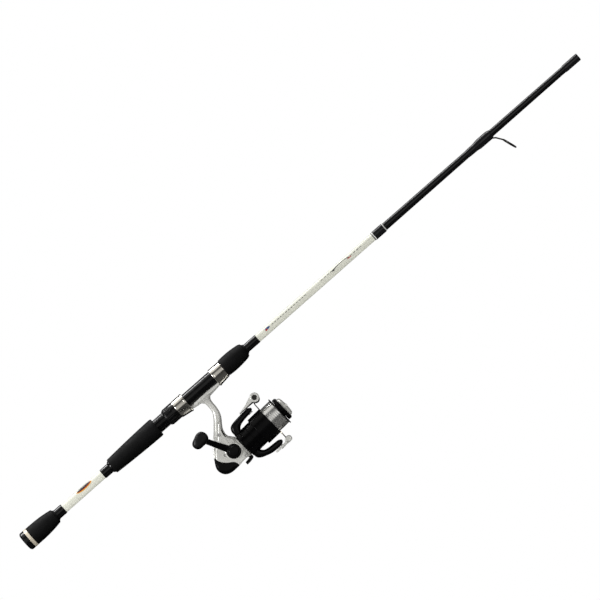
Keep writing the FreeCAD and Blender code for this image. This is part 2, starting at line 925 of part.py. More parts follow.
def reel_body():
    """One casting: foot, stem and an open housing, with a nose that carries the pinion's bearing."""
    left = d.housing_left
    right = d.housing_right
    housing = slab("housing", "XZ_Plane", housing_outline(), left, right, REEL, is_node=False)
    nose_end = d.bearing_rear + d.bearing_width
    nose = rod_bar("nose", "YZ_Plane", (0, 0), d.nose_radius, 6, nose_end, REEL, is_node=False)
    solid = joined("casting", [foot(), stem(), housing, nose], is_node=False)
    room = slab(
        "cavity", "XZ_Plane", cavity_outline(), left - 1, right - d.housing_wall, REEL, is_node=False
    )
    seat = rod_bar("seat", "YZ_Plane", (0, 0), d.bearing_radius, 6, nose_end + 1, REEL, is_node=False)
    crank_centre = (0, d.crank_rise)
    axle_hole = rod_bar(
        "axle_hole", "XZ_Plane", crank_centre, d.axle_radius + 0.4, 0, right + 1, REEL, is_node=False
    )
    bearing_seat = rod_bar(
        "axle_seat", "XZ_Plane", crank_centre, d.axle_bearing_radius, 0, d.bearing_right, REEL,
        is_node=False,
    )
    stub_centre = (d.oscillator_centre_x, d.oscillator_centre_z)
    stub_bore = rod_bar(
        "stub_bore", "XZ_Plane", stub_centre, d.stub_radius + d.running_gap, 0, d.stub_end + 0.15, REEL,
        is_node=False,
    )
    slot = slab("lever_slot", "XY_Plane", rectangle(5, 11.4, -4.6, 4.6), -16, -10, REEL, is_node=False)
    lever_bore = rod_bar(
        "lever_bore", "YZ_Plane", (0, d.lever_axis_z), d.lever_shaft_radius + d.running_gap, 5,
        nose_end + 1, REEL, is_node=False,
    )
    wall = right - 1
    bosses = [
        rod_bar("boss", "XZ_Plane", place, d.screw_boss_radius, left, left + d.screw_boss_depth, REEL,
                is_node=False)
        for place in COVER_SCREWS
    ]
    web = slab("web", "XZ_Plane", SCREW_WEB, left, left + d.screw_boss_depth, REEL, is_node=False)
    axle_boss = rod_bar(
        "axle_boss", "XZ_Plane", crank_centre, d.axle_bearing_radius + 1.4,
        d.bearing_right - d.axle_bearing_width - 0.2, wall, REEL, is_node=False,
    )
    stub_boss = rod_bar(
        "stub_boss", "XZ_Plane", stub_centre, d.stub_radius + 1.4, d.spur_far + 0.8, d.bearing_right, REEL,
        is_node=False,
    )
    hollow = cut("open_casting", solid, room, is_node=False)
    ribbed = joined("bossed_casting", [hollow, web, axle_boss, stub_boss] + bosses, is_node=False)
    bores = [seat, axle_hole, bearing_seat, stub_bore, slot, lever_bore]
    bores += [screw_hole(place) for place in COVER_SCREWS]
    cut("reel_body", ribbed, joined("bores", bores, is_node=False))


def screw_hole(place):
    left = d.housing_left
    return rod_bar("screw_hole", "XZ_Plane", place, d.screw_radius + 0.05, left - 1,
                   left + d.screw_hole_depth, REEL, is_node=False)


def rectangle(low_u, high_u, low_v, high_v):
    return [(low_u, low_v), (high_u, low_v), (high_u, high_v), (low_u, high_v)]


def side_cover():
    """The lid on the crank's side, with a boss for the crank's bearing."""
    points = [(9.5, 41.5), (-5.4, 26.5)] + REAR_SEAM + [
        (d.housing_front, -13.2),
        (d.housing_front, 16.6, -0.6),
        (5.2, 24, -0.9),
        (7, 35),
    ]
    face = d.cover_face
    inner = d.housing_left
    plate = slab("cover_plate", "XZ_Plane", points, face, inner, REEL, is_node=False)
    centre = (0, d.crank_rise)
    boss = rod_bar("cover_boss", "XZ_Plane", centre, d.axle_bearing_radius + 1.4, face - 3.4, inner + 2.3,
                   REEL, is_node=False)
    seat = rod_bar("cover_seat", "XZ_Plane", centre, d.axle_bearing_radius,
                   -d.axle_bearing_left - d.axle_bearing_width, inner + 3, REEL, is_node=False)
    bore = rod_bar("cover_bore", "XZ_Plane", centre, d.shank_radius + 0.35, face - 4, inner + 3, REEL,
                   is_node=False)
    holes = [
        rod_bar("cover_hole", "XZ_Plane", place, 1.25, face - 1, inner + 1, REEL, is_node=False)
        for place in COVER_SCREWS
    ]
    sinks = [
        rod_bar("cover_sink", "XZ_Plane", place, 2.2, face - 1, face + 1.1, REEL, is_node=False)
        for place in COVER_SCREWS
    ]
    solid = joined("cover_solid", [plate, boss], is_node=False)
    bores = joined("cover_bores", [seat, bore] + holes + sinks, is_node=False)
    cut("side_cover", solid, bores)


def cover_screws():
    group("side_cover_screws", [cover_screw(x, z) for x, z in COVER_SCREWS])


def cover_screw(x, z):
    """A pan-head screw with a cross slot, its head sunk in the cover."""
    top = d.cover_face - 0.2
    end = d.housing_left + d.screw_hole_depth
    head = rod_bar("screw_head", "XZ_Plane", (x, z), 2.0, top, top + 1.3, REEL, is_node=False)
    shank = rod_bar("screw_shank", "XZ_Plane", (x, z), d.screw_radius, top + 1, end, REEL, is_node=False)
    slots = [
        slab("screw_slot", "XZ_Plane", rectangle(x - a, x + a, z - b, z + b), top - 1, top + 0.6, REEL,
             is_node=False)
        for a, b in ((1.3, 0.25), (0.25, 1.3))
    ]
    solid = joined("screw_solid", [head, shank], is_node=False)
    return cut("cover_screw", solid, joined("cross", slots, is_node=False), is_node=False)


def rear_cover():
    """The black shell that closes the housing at the rear and below."""
    outer = [
        (-23.5, 13.7, -0.35),
        (-28.5, 6, -0.9),
        (-29.9, -1.9, -0.9),
        (-26.2, -9.1, -0.7),
        (-19.9, -12.1),
        (-7.4, -12.6, 0.7),
        (-19.1, 2, 0.9),
    ]
    inner = [
        (-21.5, 12.5, -0.35),
        (-26.6, 5.5, -0.9),
        (-28, -1.7, -0.9),
        (-24.8, -7.8, -0.6),
        (-19.4, -10.6),
        (-5, -11.2, 0.7),
        (-15, 4, 0.9),
    ]
    shell = slab("rear_shell", "XZ_Plane", outer, d.cover_face, d.housing_right, REEL, is_node=False)
    wall = d.housing_wall
    room = slab(
        "rear_room", "XZ_Plane", inner, d.cover_face + wall, d.housing_right - wall, REEL, is_node=False
    )
    cut("rear_cover", shell, room)


def off_side_cap():
    """The cap over the crank's bearing on the side away from the crank."""
    right = -d.housing_right
    turned(
        "off_side_cap",
        [
            (right, 0),
            (right, d.cap_radius),
            (right - d.cap_height, d.cap_radius - 0.5, -0.3),
            (right - d.cap_height - 0.9, 1.5),
            (right - d.cap_height - 0.9, 0),
        ],
        CRANK,
    )


def nose_collar():
    """A dark collar between the housing and the rotor."""
    tube("nose_collar", d.housing_front, d.rotor_rear - 0.15, d.collar_radius, d.nose_radius, REEL)


# ---------------------------------------------------------------- gears and shafts


def spur(label, teeth, pitch_radius, low, high, bore, frame, depth):
    """A spur gear about X: a disc with one tooth gap cut in it and repeated."""
    gear = turned(
        label,
        [(low, bore), (high, bore), (high, pitch_radius + depth * 0.45), (low, pitch_radius + depth * 0.45)],
        frame,
    )
    cut_gaps(gear, teeth, pitch_radius, depth, low, high)
    return gear


def cut_gaps(gear, teeth, pitch_radius, depth, low, high):
    pitch = 2 * math.pi * number(pitch_radius) / number(teeth)
    tip = pitch_radius + depth * 0.45
    root = pitch_radius - depth * 0.55
    wide = 0.39 * pitch
    narrow = 0.23 * pitch
    gap = [(-narrow, root), (narrow, root), (wide, tip + 0.3), (-wide, tip + 0.3)]
    sketch = outline(gear, "YZ_Plane", gap, low)
    ring_pattern(gear, pocket(gear, sketch, "YZ_Plane", high - low), "X_Axis", teeth)


def gear_train():
    drive_gear()
    centre = REEL.multiply(
        FreeCAD.Placement(
            FreeCAD.Vector(d.oscillator_centre_x.value, 0, d.oscillator_centre_z.value),
            FreeCAD.Rotation(FreeCAD.Vector(0, 0, 1), -90),
        )
    )
    oscillation_gear(turned_about_x(centre, oscillator_turn()))
    pinion()
    main_shaft()
    bearings()


def turned_about_x(frame, angle):
    turn = FreeCAD.Rotation(FreeCAD.Vector(1, 0, 0), angle)
    return frame.multiply(FreeCAD.Placement(FreeCAD.Vector(), turn))


def oscillator_turn():
    """How far the oscillation gear is turned so that its teeth stand in the drive gear's gaps. Any
    whole number of teeth more would do: this one puts its pin beside the slider's middle."""
    drive_pitch = 360 / d.oscillator_drive_teeth.value
    pitch = 360 / d.oscillator_teeth.value
    across = d.oscillator_centre_z.value - d.crank_rise.value
    line = math.degrees(math.atan2(across, d.oscillator_centre_x.value))
    turn = line + 90 - (90 - line) / drive_pitch * pitch - pitch / 2
    return turn % pitch - 2 * pitch


def oscillator_distance():
    """Between the crank's axis and the oscillation gear's."""
    return math.hypot(d.oscillator_centre_x.value, d.crank_rise.value - d.oscillator_centre_z.value)


def drive_gear():
    """A face gear with its axle. Its teeth lie along the pinion, so they miss the centre by the
    crank's offset. Beyond the shaft it has a small spur gear for the oscillation gear."""
    teeth_total = d.oscillator_teeth.value + d.oscillator_drive_teeth.value
    drive_radius = oscillator_distance() * d.oscillator_drive_teeth.value / teeth_total
    left = -d.gear_back
    face = -d.gear_face
    spur_near = -d.spur_near
    spur_far = -d.spur_far
    tip = drive_radius + d.spur_depth.value * 0.45
    inner_end = -d.bearing_right + 0.1
    gear = turned(
        "drive_gear",
        [
            (inner_end, d.hex_hole_radius),
            (d.gear_hub_left, d.hex_hole_radius),
            (d.gear_hub_left, d.axle_radius),
            (left + 1.2, d.axle_radius),
            (left + 1.2, d.gear_inner_radius - 2.5),
            (left, d.gear_inner_radius - 1.5),
            (left, d.gear_outer_radius),
            (face, d.gear_outer_radius),
            (face, d.axle_radius),
            (spur_near, d.axle_radius),
            (spur_near, tip),
            (spur_far, tip),
            (spur_far, d.axle_radius),
            (inner_end, d.axle_radius),
        ],
        CRANK,
    )
    cut_gaps(gear, d.oscillator_drive_teeth, drive_radius, d.spur_depth.value, spur_far, spur_near)
    add_face_teeth(gear, face)


def add_face_teeth(gear, face):
    """One straight tooth on the gear's face, level with the shaft, repeated round the axle."""
    inner = math.sqrt(d.gear_inner_radius.value ** 2 - d.crank_rise.value ** 2)
    outer = math.sqrt((d.gear_outer_radius.value - 0.1) ** 2 - d.crank_rise.value ** 2)
    foot = 0.27
    crest = 0.1
    level = -d.crank_rise.value
    tooth = [
        (face, level - foot),
        (face, level + foot),
        (face - d.tooth_height, level + crest),
        (face - d.tooth_height, level - crest),
    ]
    sketch = outline(gear, "XZ_Plane", tooth, inner)
    feature = pad(gear, sketch, "XZ_Plane", outer - inner)
    ring_pattern(gear, feature, "X_Axis", d.gear_teeth)


def oscillation_gear(frame):
    """A spur gear with a pin off its centre, and a stub that turns in the housing."""
    teeth_total = d.oscillator_teeth.value + d.oscillator_drive_teeth.value
    radius = oscillator_distance() * d.oscillator_teeth.value / teeth_total
    near = -d.spur_near - 0.05
    far = -d.spur_far + 0.05
    gear = turned(
        "oscillation_gear",
        [
            (-d.stub_end, 0),
            (near, 0),
            (near, radius + d.spur_depth.value * 0.45),
            (far, radius + d.spur_depth.value * 0.45),
            (far, d.stub_radius),
            (-d.stub_end, d.stub_radius),
        ],
        frame,
    )
    cut_gaps(gear, d.oscillator_teeth, radius, d.spur_depth.value, far, near)
    pin = circle(gear, "YZ_Plane", (0, d.oscillator_throw), d.stub_radius, near)
    pad(gear, pin, "YZ_Plane", d.pin_length)


def pinion():
    """The pinion: teeth at its rear, then a neck that carries the bearing, ratchet and rotor."""
    bore = d.shaft_radius + d.running_gap
    tip = d.pinion_pitch_radius + 0.25
    gear = turned(
        "pinion_gear",
        [
            (d.pinion_rear, bore),
            (d.pinion_front, bore),
            (d.pinion_front, d.pinion_neck_radius),
            (d.pinion_teeth_front + 0.4, d.pinion_neck_radius),
            (d.pinion_teeth_front, tip),
            (d.pinion_rear, tip),
        ],
        turned_about_x(REEL, 180 / d.pinion_teeth.value),
    )
    length = d.pinion_teeth_front - d.pinion_rear
    pitch = 2 * math.pi * d.pinion_pitch_radius.value / d.pinion_teeth.value
    root = d.pinion_pitch_radius - 0.42
    gap = [
        (-0.26 * pitch, root),
        (0.26 * pitch, root),
        (0.4 * pitch, tip + 0.2),
        (-0.4 * pitch, tip + 0.2),
    ]
    sketch = outline(gear, "YZ_Plane", gap, d.pinion_rear)
    gaps = pocket(gear, sketch, "YZ_Plane", length)
    ring_pattern(gear, gaps, "X_Axis", d.pinion_teeth)


def main_shaft():
    """The spool's shaft. A cross pin drives the spool, and a thread at its end takes the drag knob."""
    shaft = turned(
        "main_shaft",
        [
            (d.shaft_rear, 0),
            (d.shaft_front, 0),
            (d.shaft_front, d.shaft_radius - 0.3),
            (d.shaft_front - 0.3, d.shaft_radius),
            (d.shaft_rear, d.shaft_radius),
        ],
        REEL,
    )
    low = d.slider_rear
    half = d.slider_height / 2
    block = slab(
        "slider", "XZ_Plane", rectangle(low, low + d.slider_length, -half, half),
        d.slider_left, d.slider_right, REEL, is_node=False,
    )
    cut("slider_block", block, shaft)


def bearings():
    """Ball bearings, each drawn as one sleeve, and the plate that holds the front one."""
    rear = d.bearing_rear
    front = rear + d.bearing_width
    neck = d.pinion_neck_radius
    tube("pinion_bearing", rear, front, d.bearing_radius, neck + d.running_gap, REEL)
    plate = tube("bearing_plate", front, front + d.plate_thickness, d.nose_radius, neck + 0.6, REEL,
                 is_node=False)
    screws = [plate_screw(angle) for angle in (45, 135, 270)]
    loose_lever = d.lever_shaft_radius + d.running_gap
    lever_hole = turned_at(
        "plate_lever_hole", front - 1, front + 2, (0, d.lever_axis_z), loose_lever, REEL
    )
    holes = [screw[1] for screw in screws] + [lever_hole]
    cut("bearing_retainer", plate, joined("plate_holes", holes, is_node=False))
    group("retainer_screws", [screw[0] for screw in screws])
    half_tooth = 180 / d.ratchet_teeth.value
    tooth_depth = 1.4
    spur(
        "anti_reverse_ratchet", d.ratchet_teeth, d.ratchet_radius - 0.4,
        d.ratchet_rear, d.ratchet_front, neck,
        turned_about_x(REEL, half_tooth), tooth_depth,
    )
    axle = d.axle_radius
    sleeves = [
        tube("axle_bearing", low, low + d.axle_bearing_width, d.axle_bearing_radius, axle + d.running_gap,
             CRANK, is_node=False)
        for low in (d.axle_bearing_left, -d.bearing_right)
    ]
    group("axle_bearings", sleeves)


def plate_screw(angle):
    """A small screw in the bearing plate, and the hole it needs."""
    frame = turned_about_x(REEL, angle)
    low = d.bearing_rear + d.bearing_width
    top = low + d.plate_thickness
    centre = (0, 7.9)
    screw = turned_at("plate_screw", low, top + 0.7, centre, 0.9, frame)
    hole = turned_at("plate_hole", low - 1, top + 1, centre, 0.9, frame)
    return screw, hole


def turned_at(label, low, high, centre, radius, frame):
    return rod_bar(label, "YZ_Plane", centre, radius, low, high, frame, is_node=False)


def anti_reverse():
    """The lever below the housing, on a shaft that reaches forward, and the dog on its end."""
    axis = d.lever_axis_z
    lever_frame = REEL.multiply(FreeCAD.Placement(FreeCAD.Vector(0, 0, axis.value), FreeCAD.Rotation()))
    radius = d.lever_shaft_radius
    lever_rear = 6.4
    shaft = rod_bar("lever_shaft", "YZ_Plane", (0, 0), radius, lever_rear, d.ratchet_front, lever_frame,
                    is_node=False)
    profile = [
        (6.9, 0),
        (6.9, -6.2),
        (0, -7.0),
        (-0.4, -10.6, 0.5),
        (10.2, -9.6, 1.2),
        (10.6, -5),
        (10.6, 0),
    ]
    drop = slab("lever_drop", "XZ_Plane", profile, -1.7, 1.7, lever_frame, is_node=False)
    joined("anti_reverse_lever", [shaft, drop])
    away = math.radians(d.dog_angle.value)
    reach = d.dog_length.value
    tip_y = reach * math.sin(away)
    tip_z = reach * math.cos(away)
    dog = slab(
        "dog", "YZ_Plane",
        [
            (0, -radius - 0.8),
            (radius + 0.6, -0.6),
            (tip_y + 0.35, tip_z),
            (tip_y - 0.35, tip_z + 0.3),
            (-1.6, 0.9),
        ],
        d.ratchet_rear, d.ratchet_front, lever_frame, is_node=False,
    )
    cut("anti_reverse_dog", dog, shaft)


# ---------------------------------------------------------------- the rotor and the bail


def rotor():
    """A cup with a rear disc, and two arms that reach forward beside the spool."""
    neck = d.pinion_neck_radius
    inner = d.cup_radius - d.cup_wall
    cup = turned(
        "rotor_cup",
        [
            (d.rotor_rear, d.recess_radius),
            (d.hub_rear, d.recess_radius),
            (d.hub_rear, neck),
            (d.hub_front, neck),
            (d.hub_front, inner),
            (d.cup_front, inner),
            (d.cup_front, d.cup_radius),
            (d.hub_rear + 0.6, d.cup_radius),
            (d.hub_rear - 1, d.rotor_disc_radius),
            (d.rotor_rear + 1.5, d.rotor_disc_radius, 0.3),
            (d.rotor_rear, d.rotor_disc_radius - 1.5),
        ],
        REEL,
        is_node=False,
    )
    arms = [rotor_arm("upper_arm", UPPER_ARM), rotor_arm("lower_arm", LOWER_ARM)]
    solid = joined("rotor_solid", [cup] + arms, is_node=False)
    pivots = [pivot_bore("upper_pivot", 20, 30), pivot_bore("lower_pivot", -31, -21)]
    room = rod_bar("spring_room", "XY_Plane", (d.bail_pivot_x, 0), d.spring_radius + 0.2, 20, 26.5, REEL,
                   is_node=False)
    cut("rotor", solid, joined("rotor_bores", pivots + [room], is_node=False))


# The arms' side views in the reel's frame, from the root round the outside to the root again.
UPPER_ARM = [
    (d.rotor_rear + 0.3, 15),
    (d.rotor_rear + 0.3, 23.8, 0.9),
    (17.5, 27.6, 0.2),
    (24, 28.5),
    (46.3, d.arm_top, 0.6),
    (48.5, 27),
    (48.5, 24, 0.4),
    (46.9, 22.1),
    (32.2, 21.5, -0.6),
    (25, 18.9, -0.3),
    (22.4, 15.6),
]
LOWER_ARM = [
    (22.4, -15.6, -0.3),
    (26, -19.9, -0.5),
    (31, -21.4),
    (45.6, -22.7, 0.4),
    (48.4, -26, 0.5),
    (46.4, -29.7, 0.3),
    (43.5, d.arm_bottom),
    (35.5, d.arm_bottom + 0.2, 0.4),
    (23.6, -26.8),
    (14.8, -22.2, 0.5),
    (d.rotor_rear + 0.3, -18),
    (d.rotor_rear + 0.3, -15),
]


def rotor_arm(label, side_view):
    """An arm: its side view, narrowed from above to a round end about the bail's pivot."""
    side = slab(f"{label}_side", "XZ_Plane", side_view, -9, 9, REEL, is_node=False)
    root = d.arm_width / 2
    tip = d.arm_tip_width / 2
    plan_points = [
        (d.rotor_rear, -root),
        (24, -root),
        (36, -tip),
        (d.bail_pivot_x, -tip, tip - 0.2),
        (d.bail_pivot_x, tip),
        (36, tip),
        (24, root),
        (d.rotor_rear, root),
    ]
    plan = slab(f"{label}_plan", "XY_Plane", plan_points, -40, 40, REEL, is_node=False)
    return shared(label, side, plan, is_node=False)


def pivot_bore(label, low, high):
    return rod_bar(label, "XY_Plane", (d.bail_pivot_x, 0), d.pivot_radius, low, high, REEL, is_node=False)


def rotor_nut():
    """The nut that holds the rotor on the pinion."""
    nut = tube("rotor_nut", d.hub_front, d.hub_front + 3, d.rotor_nut_radius, d.pinion_neck_radius, REEL)
    edge = d.rotor_nut_radius * math.cos(math.pi / 6)
    flat = [(-4, edge), (4, edge), (4, edge + 3), (-4, edge + 3)]
    sketch = outline(nut, "YZ_Plane", flat, d.hub_front)
    ring_pattern(nut, pocket(nut, sketch, "YZ_Plane", 3), "X_Axis", 6)


def bail_pivots():
    """The two screws that the bail turns on, one through each arm."""
    screws = [
        pivot_screw("upper_screw", 27, d.plate_top, 1),
        pivot_screw("lower_screw", -24, d.holder_bottom, -1),
    ]
    group("bail_pivot_screws", screws)
    gap = d.running_gap
    spring = new_body("bail_spring", REEL)
    coil = circle(spring, "XY_Plane", (d.bail_pivot_x, 0), d.spring_radius, 21.4)
    pad(spring, coil, "XY_Plane", 4.8)
    bore = circle(spring, "XY_Plane", (d.bail_pivot_x, 0), d.pivot_radius + gap * 5, 21.4)
    pocket(spring, bore, "XY_Plane", 4.8)


def pivot_screw(label, inner, face, side):
    """A screw from inside an arm out through the bail, with a low head on the bail's outer face."""
    centre = (d.bail_pivot_x, 0)
    outer = face + 1.0 * side
    in_head = outer - 0.2 * side
    low, high = (inner, in_head) if side > 0 else (in_head, inner)
    shank = rod_bar(f"{label}_shank", "XY_Plane", centre, d.pivot_radius, low, high, REEL, is_node=False)
    low, high = (face + 0.05, outer) if side > 0 else (outer, face - 0.05)
    head = rod_bar(f"{label}_head", "XY_Plane", centre, 2.6, low, high, REEL, is_node=False)
    slot = slab(
        f"{label}_slot", "XY_Plane", rectangle(d.bail_pivot_x - 3, d.bail_pivot_x + 3, -0.3, 0.3),
        outer - 0.5, outer + 0.5, REEL, is_node=False,
    )
    return cut(label, joined(f"{label}_solid", [shank, head], is_node=False), slot, is_node=False)


def bail_arm():
    """The arm on the roller's side: a plate on the rotor's arm, and a web that ends in a round head."""
    pivot = d.bail_pivot_x
    plate = slab(
        "bail_plate", "XY_Plane",
        [
            (34.6, -2.2),
            (40, -4.6),
            (54, -5.6),
            (54, 3.4),
            (pivot + 2, 4.8, 0.4),
            (pivot - 4, 4.2),
            (34.6, 2.2, 1.2),
        ],
        d.plate_bottom, d.plate_top, REEL, is_node=False,
    )
    head = (d.roller_x, d.roller_z)
    web = slab(
        "bail_web", "XZ_Plane",
        [
            (38, d.plate_bottom),
            (55, d.plate_bottom),
            (60, 27),
            (60, 37.5),
            (54, 36.6),
            (38, d.plate_top + 0.1),
        ],
        d.head_left, d.head_right, REEL, is_node=False,
    )
    disc = rod_bar("bail_head", "XZ_Plane", head, d.head_radius, d.head_left, d.head_right, REEL,
                   is_node=False)
    solid = joined("bail_arm_solid", [plate, web, disc], is_node=False)
    bores = [
        rod_bar("bail_bore", "XY_Plane", (pivot, 0), d.pivot_radius + d.running_gap, 28, 34, REEL,
                is_node=False),
        rod_bar("roller_bore", "XZ_Plane", head, d.roller_screw_radius, -9, 0, REEL, is_node=False),
        rod_bar("head_sink", "XZ_Plane", head, d.roller_head_radius + 0.3, d.head_left - 1,
                d.head_left + 1.2, REEL, is_node=False),
    ]
    cut("bail_arm", solid, joined("bail_bores", bores, is_node=False))


def roller_set():
    """The line roller on its screw, and the boss that the wire grows out of."""
    head = (d.roller_x, d.roller_z)
    radius = d.roller_screw_radius
    shank = rod_bar("roller_shank", "XZ_Plane", head, radius, d.head_left + 0.6, d.boss_far - 0.6, REEL,
                    is_node=False)
    cap = rod_bar("roller_cap", "XZ_Plane", head, d.roller_head_radius, d.head_left + 0.1,
                  d.head_left + 1.2, REEL, is_node=False)
    drive = rod_bar("roller_drive", "XZ_Plane", head, 1.0, d.head_left - 0.2, d.head_left + 0.8, REEL,
                    is_node=False)
    cut("roller_screw", joined("roller_screw_solid", [shank, cap], is_node=False), drive)
    boss = rod_bar("boss", "XZ_Plane", (d.roller_x - 0.5, d.roller_z - 2.3), d.boss_radius, d.boss_near,
                   d.boss_far, REEL, is_node=False)
    cut("roller_boss", boss, rod_bar("boss_bore", "XZ_Plane", head, radius, -2, 6, REEL, is_node=False))
    place = FreeCAD.Vector(d.roller_x.value, 0, d.roller_z.value)
    frame = REEL.multiply(FreeCAD.Placement(place, FreeCAD.Rotation(FreeCAD.Vector(0, 0, 1), 90)))
    near = d.head_right + 0.1
    far = d.boss_near - 0.1
    rim = d.roller_radius
    turned(
        "line_roller",
        [
            (near, radius + d.running_gap),
            (far, radius + d.running_gap),
            (far, rim, -0.7),
            (near, rim),
        ],
        frame,
    )


def bail_holder():
    """The arm on the far side: a plate under the rotor's arm, with a block that holds the wire's end."""
    pivot = d.bail_pivot_x
    plate = slab(
        "holder_plate", "XY_Plane",
        [
            (34.2, -2),
            (40, -4.2),
            (52, -3.4),
            (52, 4),
            (pivot + 2, 4.8, 0.4),
            (pivot - 4, 4.2),
            (34.2, 2, 1.2),
        ],
        d.holder_bottom, d.holder_top, REEL, is_node=False,
    )
    block = slab(
        "holder_block", "XZ_Plane",
        [
            (50.8, d.holder_bottom + 0.4),
            (50.8, -27.8, -0.3),
            (52, -26.8),
            (58, -27, -0.4),
            (59.2, -28.4),
            (58.8, -32.4, -0.5),
            (56, d.holder_bottom - 0.9),
            (50, d.holder_bottom),
        ],
        -1, 5, REEL, is_node=False,
    )
    solid = joined("holder_solid", [plate, block], is_node=False)
    bore = rod_bar("holder_bore", "XY_Plane", (pivot, 0), d.pivot_radius + d.running_gap, -36, -28, REEL,
                   is_node=False)
    cut("bail_holder", solid, bore)


def bail_wire():
    """The wire loop: from the roller's boss, out round the far side of the spool, to the holder."""
    x = d.bail_plane_x.value
    top = d.bail_top.value
    low = d.bail_bottom.value
    deep = d.bail_depth.value
    route = [
        (d.roller_x.value - 0.5, d.boss_far.value - 0.8, top + 0.8),
        (d.roller_x.value - 0.9, 11, top + 0.8),
        (x + 1, 26, top - 0.5),
        (x, deep - 4, top - 10),
        (x, deep + 0.5, 1),
        (x, deep - 4, low + 10),
        (x, 26, low + 1),
        (x + 0.5, 4.2, low - 1.5),
    ]
    points = [FreeCAD.Vector(*place) for place in route]
    wire = doc.addObject("Part::Feature", "bail_wire")
    wire.Shape = bent_bar(points, d.bail_wire_radius.value)
    wire.Placement = REEL
    as_node(wire, "bail_wire")


def bent_bar(points, radius):
    """A round bar along straight runs, with an arc at each bend as large as its two runs allow."""
    edges = []
    start = points[0]
    for before, corner, after in zip(points, points[1:], points[2:]):
        back = before - corner
        on = after - corner
        half_turn = (math.pi - back.getAngle(on)) / 2
        reach = 0.45 * min(back.Length, on.Length)
        first = corner + back.normalize() * reach
        last = corner + on.normalize() * reach
        bend = reach / math.tan(half_turn)
        inward = (back + on).normalize()
        middle = corner + inward * (bend / math.cos(half_turn) - bend)
        edges.append(Part.LineSegment(start, first).toShape())
        edges.append(Part.Arc(first, middle, last).toShape())
        start = last
    edges.append(Part.LineSegment(start, points[-1]).toShape())
    path = Part.Wire(edges)
    along = points[1] - points[0]
    section = Part.Wire([Part.makeCircle(radius, points[0], along)])
    return path.makePipeShell([section], True, False)


# ---------------------------------------------------------------- the spool and the drag


def spool():
    bore = d.shaft_radius + d.running_gap
    inner = d.skirt_radius - d.skirt_wall
    chamber = d.chamber_radius
    turned(
        "spool",
        [
            (d.spool_hub_rear, bore),
            (d.chamber_floor, bore),
            (d.chamber_floor, chamber),
            (d.line_front, chamber),
            (d.line_front, d.arbor_radius),
            (d.skirt_front, d.arbor_radius),
            (d.skirt_front, d.skirt_radius),
            (d.skirt_rear + 0.6, d.skirt_radius, 0.15),
            (d.skirt_rear, d.skirt_radius - 0.6),
            (d.skirt_rear, inner),
            (d.skirt_front - 1.7, inner),
            (d.skirt_front - 1.7, d.spool_hub_radius),
            (d.spool_hub_rear, d.spool_hub_radius),
        ],
        REEL,
    )
    turned(
        "spool_lip",
        [
            (d.line_front, chamber),
            (d.lip_front, chamber),
            (d.lip_front, d.lip_radius - 0.6, 0.25),
            (d.lip_front - 0.6, d.lip_radius, 0.1),
            (d.line_front, d.lip_radius - 0.5),
        ],
        REEL,
    )
    turned(
        "wound_line",
        [
            (d.skirt_front, d.arbor_radius),
            (d.line_front, d.arbor_radius),
            (d.line_front, d.line_radius - 0.25, 0.25),
            (d.skirt_front, d.line_radius - 0.25),
        ],
        REEL,
    )
    teeth = 24
    tooth_depth = 1.2
    spur("click_wheel", teeth, d.click_radius, d.skirt_front - 3.1, d.skirt_front - 1.7,
         d.spool_hub_radius, REEL, tooth_depth)


def drag_stack():
    """Felt and metal washers in turn, held in the spool by a spring ring."""
    step = d.washer_thickness
    bore = d.shaft_radius + 1.4
    felt = []
    metal = []
    for index in range(6):
        low = d.chamber_floor + step * index
        stack, radius = (felt, 9.8) if index % 2 == 0 else (metal, 9.6)
        stack.append(tube(f"washer_{index}", low, low + step, radius, bore, REEL, is_node=False))
    group("drag_felts", felt)
    group("drag_plates", metal)
    low = d.chamber_floor + step * 6 + 0.1
    ring = tube("ring", low, low + 0.8, d.chamber_radius, d.chamber_radius - 1.0, REEL, is_node=False)
    gap = slab("ring_gap", "XZ_Plane", rectangle(low - 1, low + 2, 8, 12), -1.5, 1.5, REEL, is_node=False)
    cut("drag_spring_ring", ring, gap)


def drag_knob():
    """The front drag knob: a notched black ring with a boss that presses on the washers."""
    bore = d.shaft_radius + d.running_gap
    boss_rear = d.chamber_floor + d.washer_thickness * 6 + 1.2
    knob = turned(
        "drag_knob",
        [
            (boss_rear, bore),
            (d.knob_front, bore),
            (d.knob_front, d.drag_knob_radius - 0.9, -0.3),
            (d.knob_front - 1, d.drag_knob_radius),
            (d.knob_rear + 0.8, d.drag_knob_radius),
            (d.knob_rear, d.drag_knob_radius - 0.8),
            (d.knob_rear, d.boss_press_radius),
            (boss_rear, d.boss_press_radius),
        ],
        REEL,
    )
    notch = circle(knob, "YZ_Plane", (0, d.drag_knob_radius + 0.9), 1.5, d.knob_rear)
    length = d.knob_front - d.knob_rear
    ring_pattern(knob, pocket(knob, notch, "YZ_Plane", length), "X_Axis", 20)
    dome = turned(
        "dome",
        [
            (d.knob_front, 0),
            (d.knob_front, d.dome_radius),
            (d.knob_front + 1.2, d.dome_radius, -0.9),
            (d.dome_front - 0.9, d.dome_radius - 4, -0.2),
            (d.dome_front - 0.3, 0),
        ],
        REEL,
        is_node=False,
    )
    bar = slab(
        "grip_bar", "XZ_Plane",
        [
            (d.knob_front, -1.6),
            (d.dome_front - 0.2, -1.6, 0.3),
            (d.dome_front - 0.2, 1.6),
            (d.knob_front, 1.6),
        ],
        -d.dome_radius + 1.6, d.dome_radius - 1.6, REEL, is_node=False,
    )
    tip_room = rod_bar("tip_room", "YZ_Plane", (0, 0), bore, d.knob_front - 1, d.shaft_front + 0.3, REEL,
                       is_node=False)
    cut("drag_dome", joined("dome_solid", [dome, bar], is_node=False), tip_room)


# ---------------------------------------------------------------- the crank


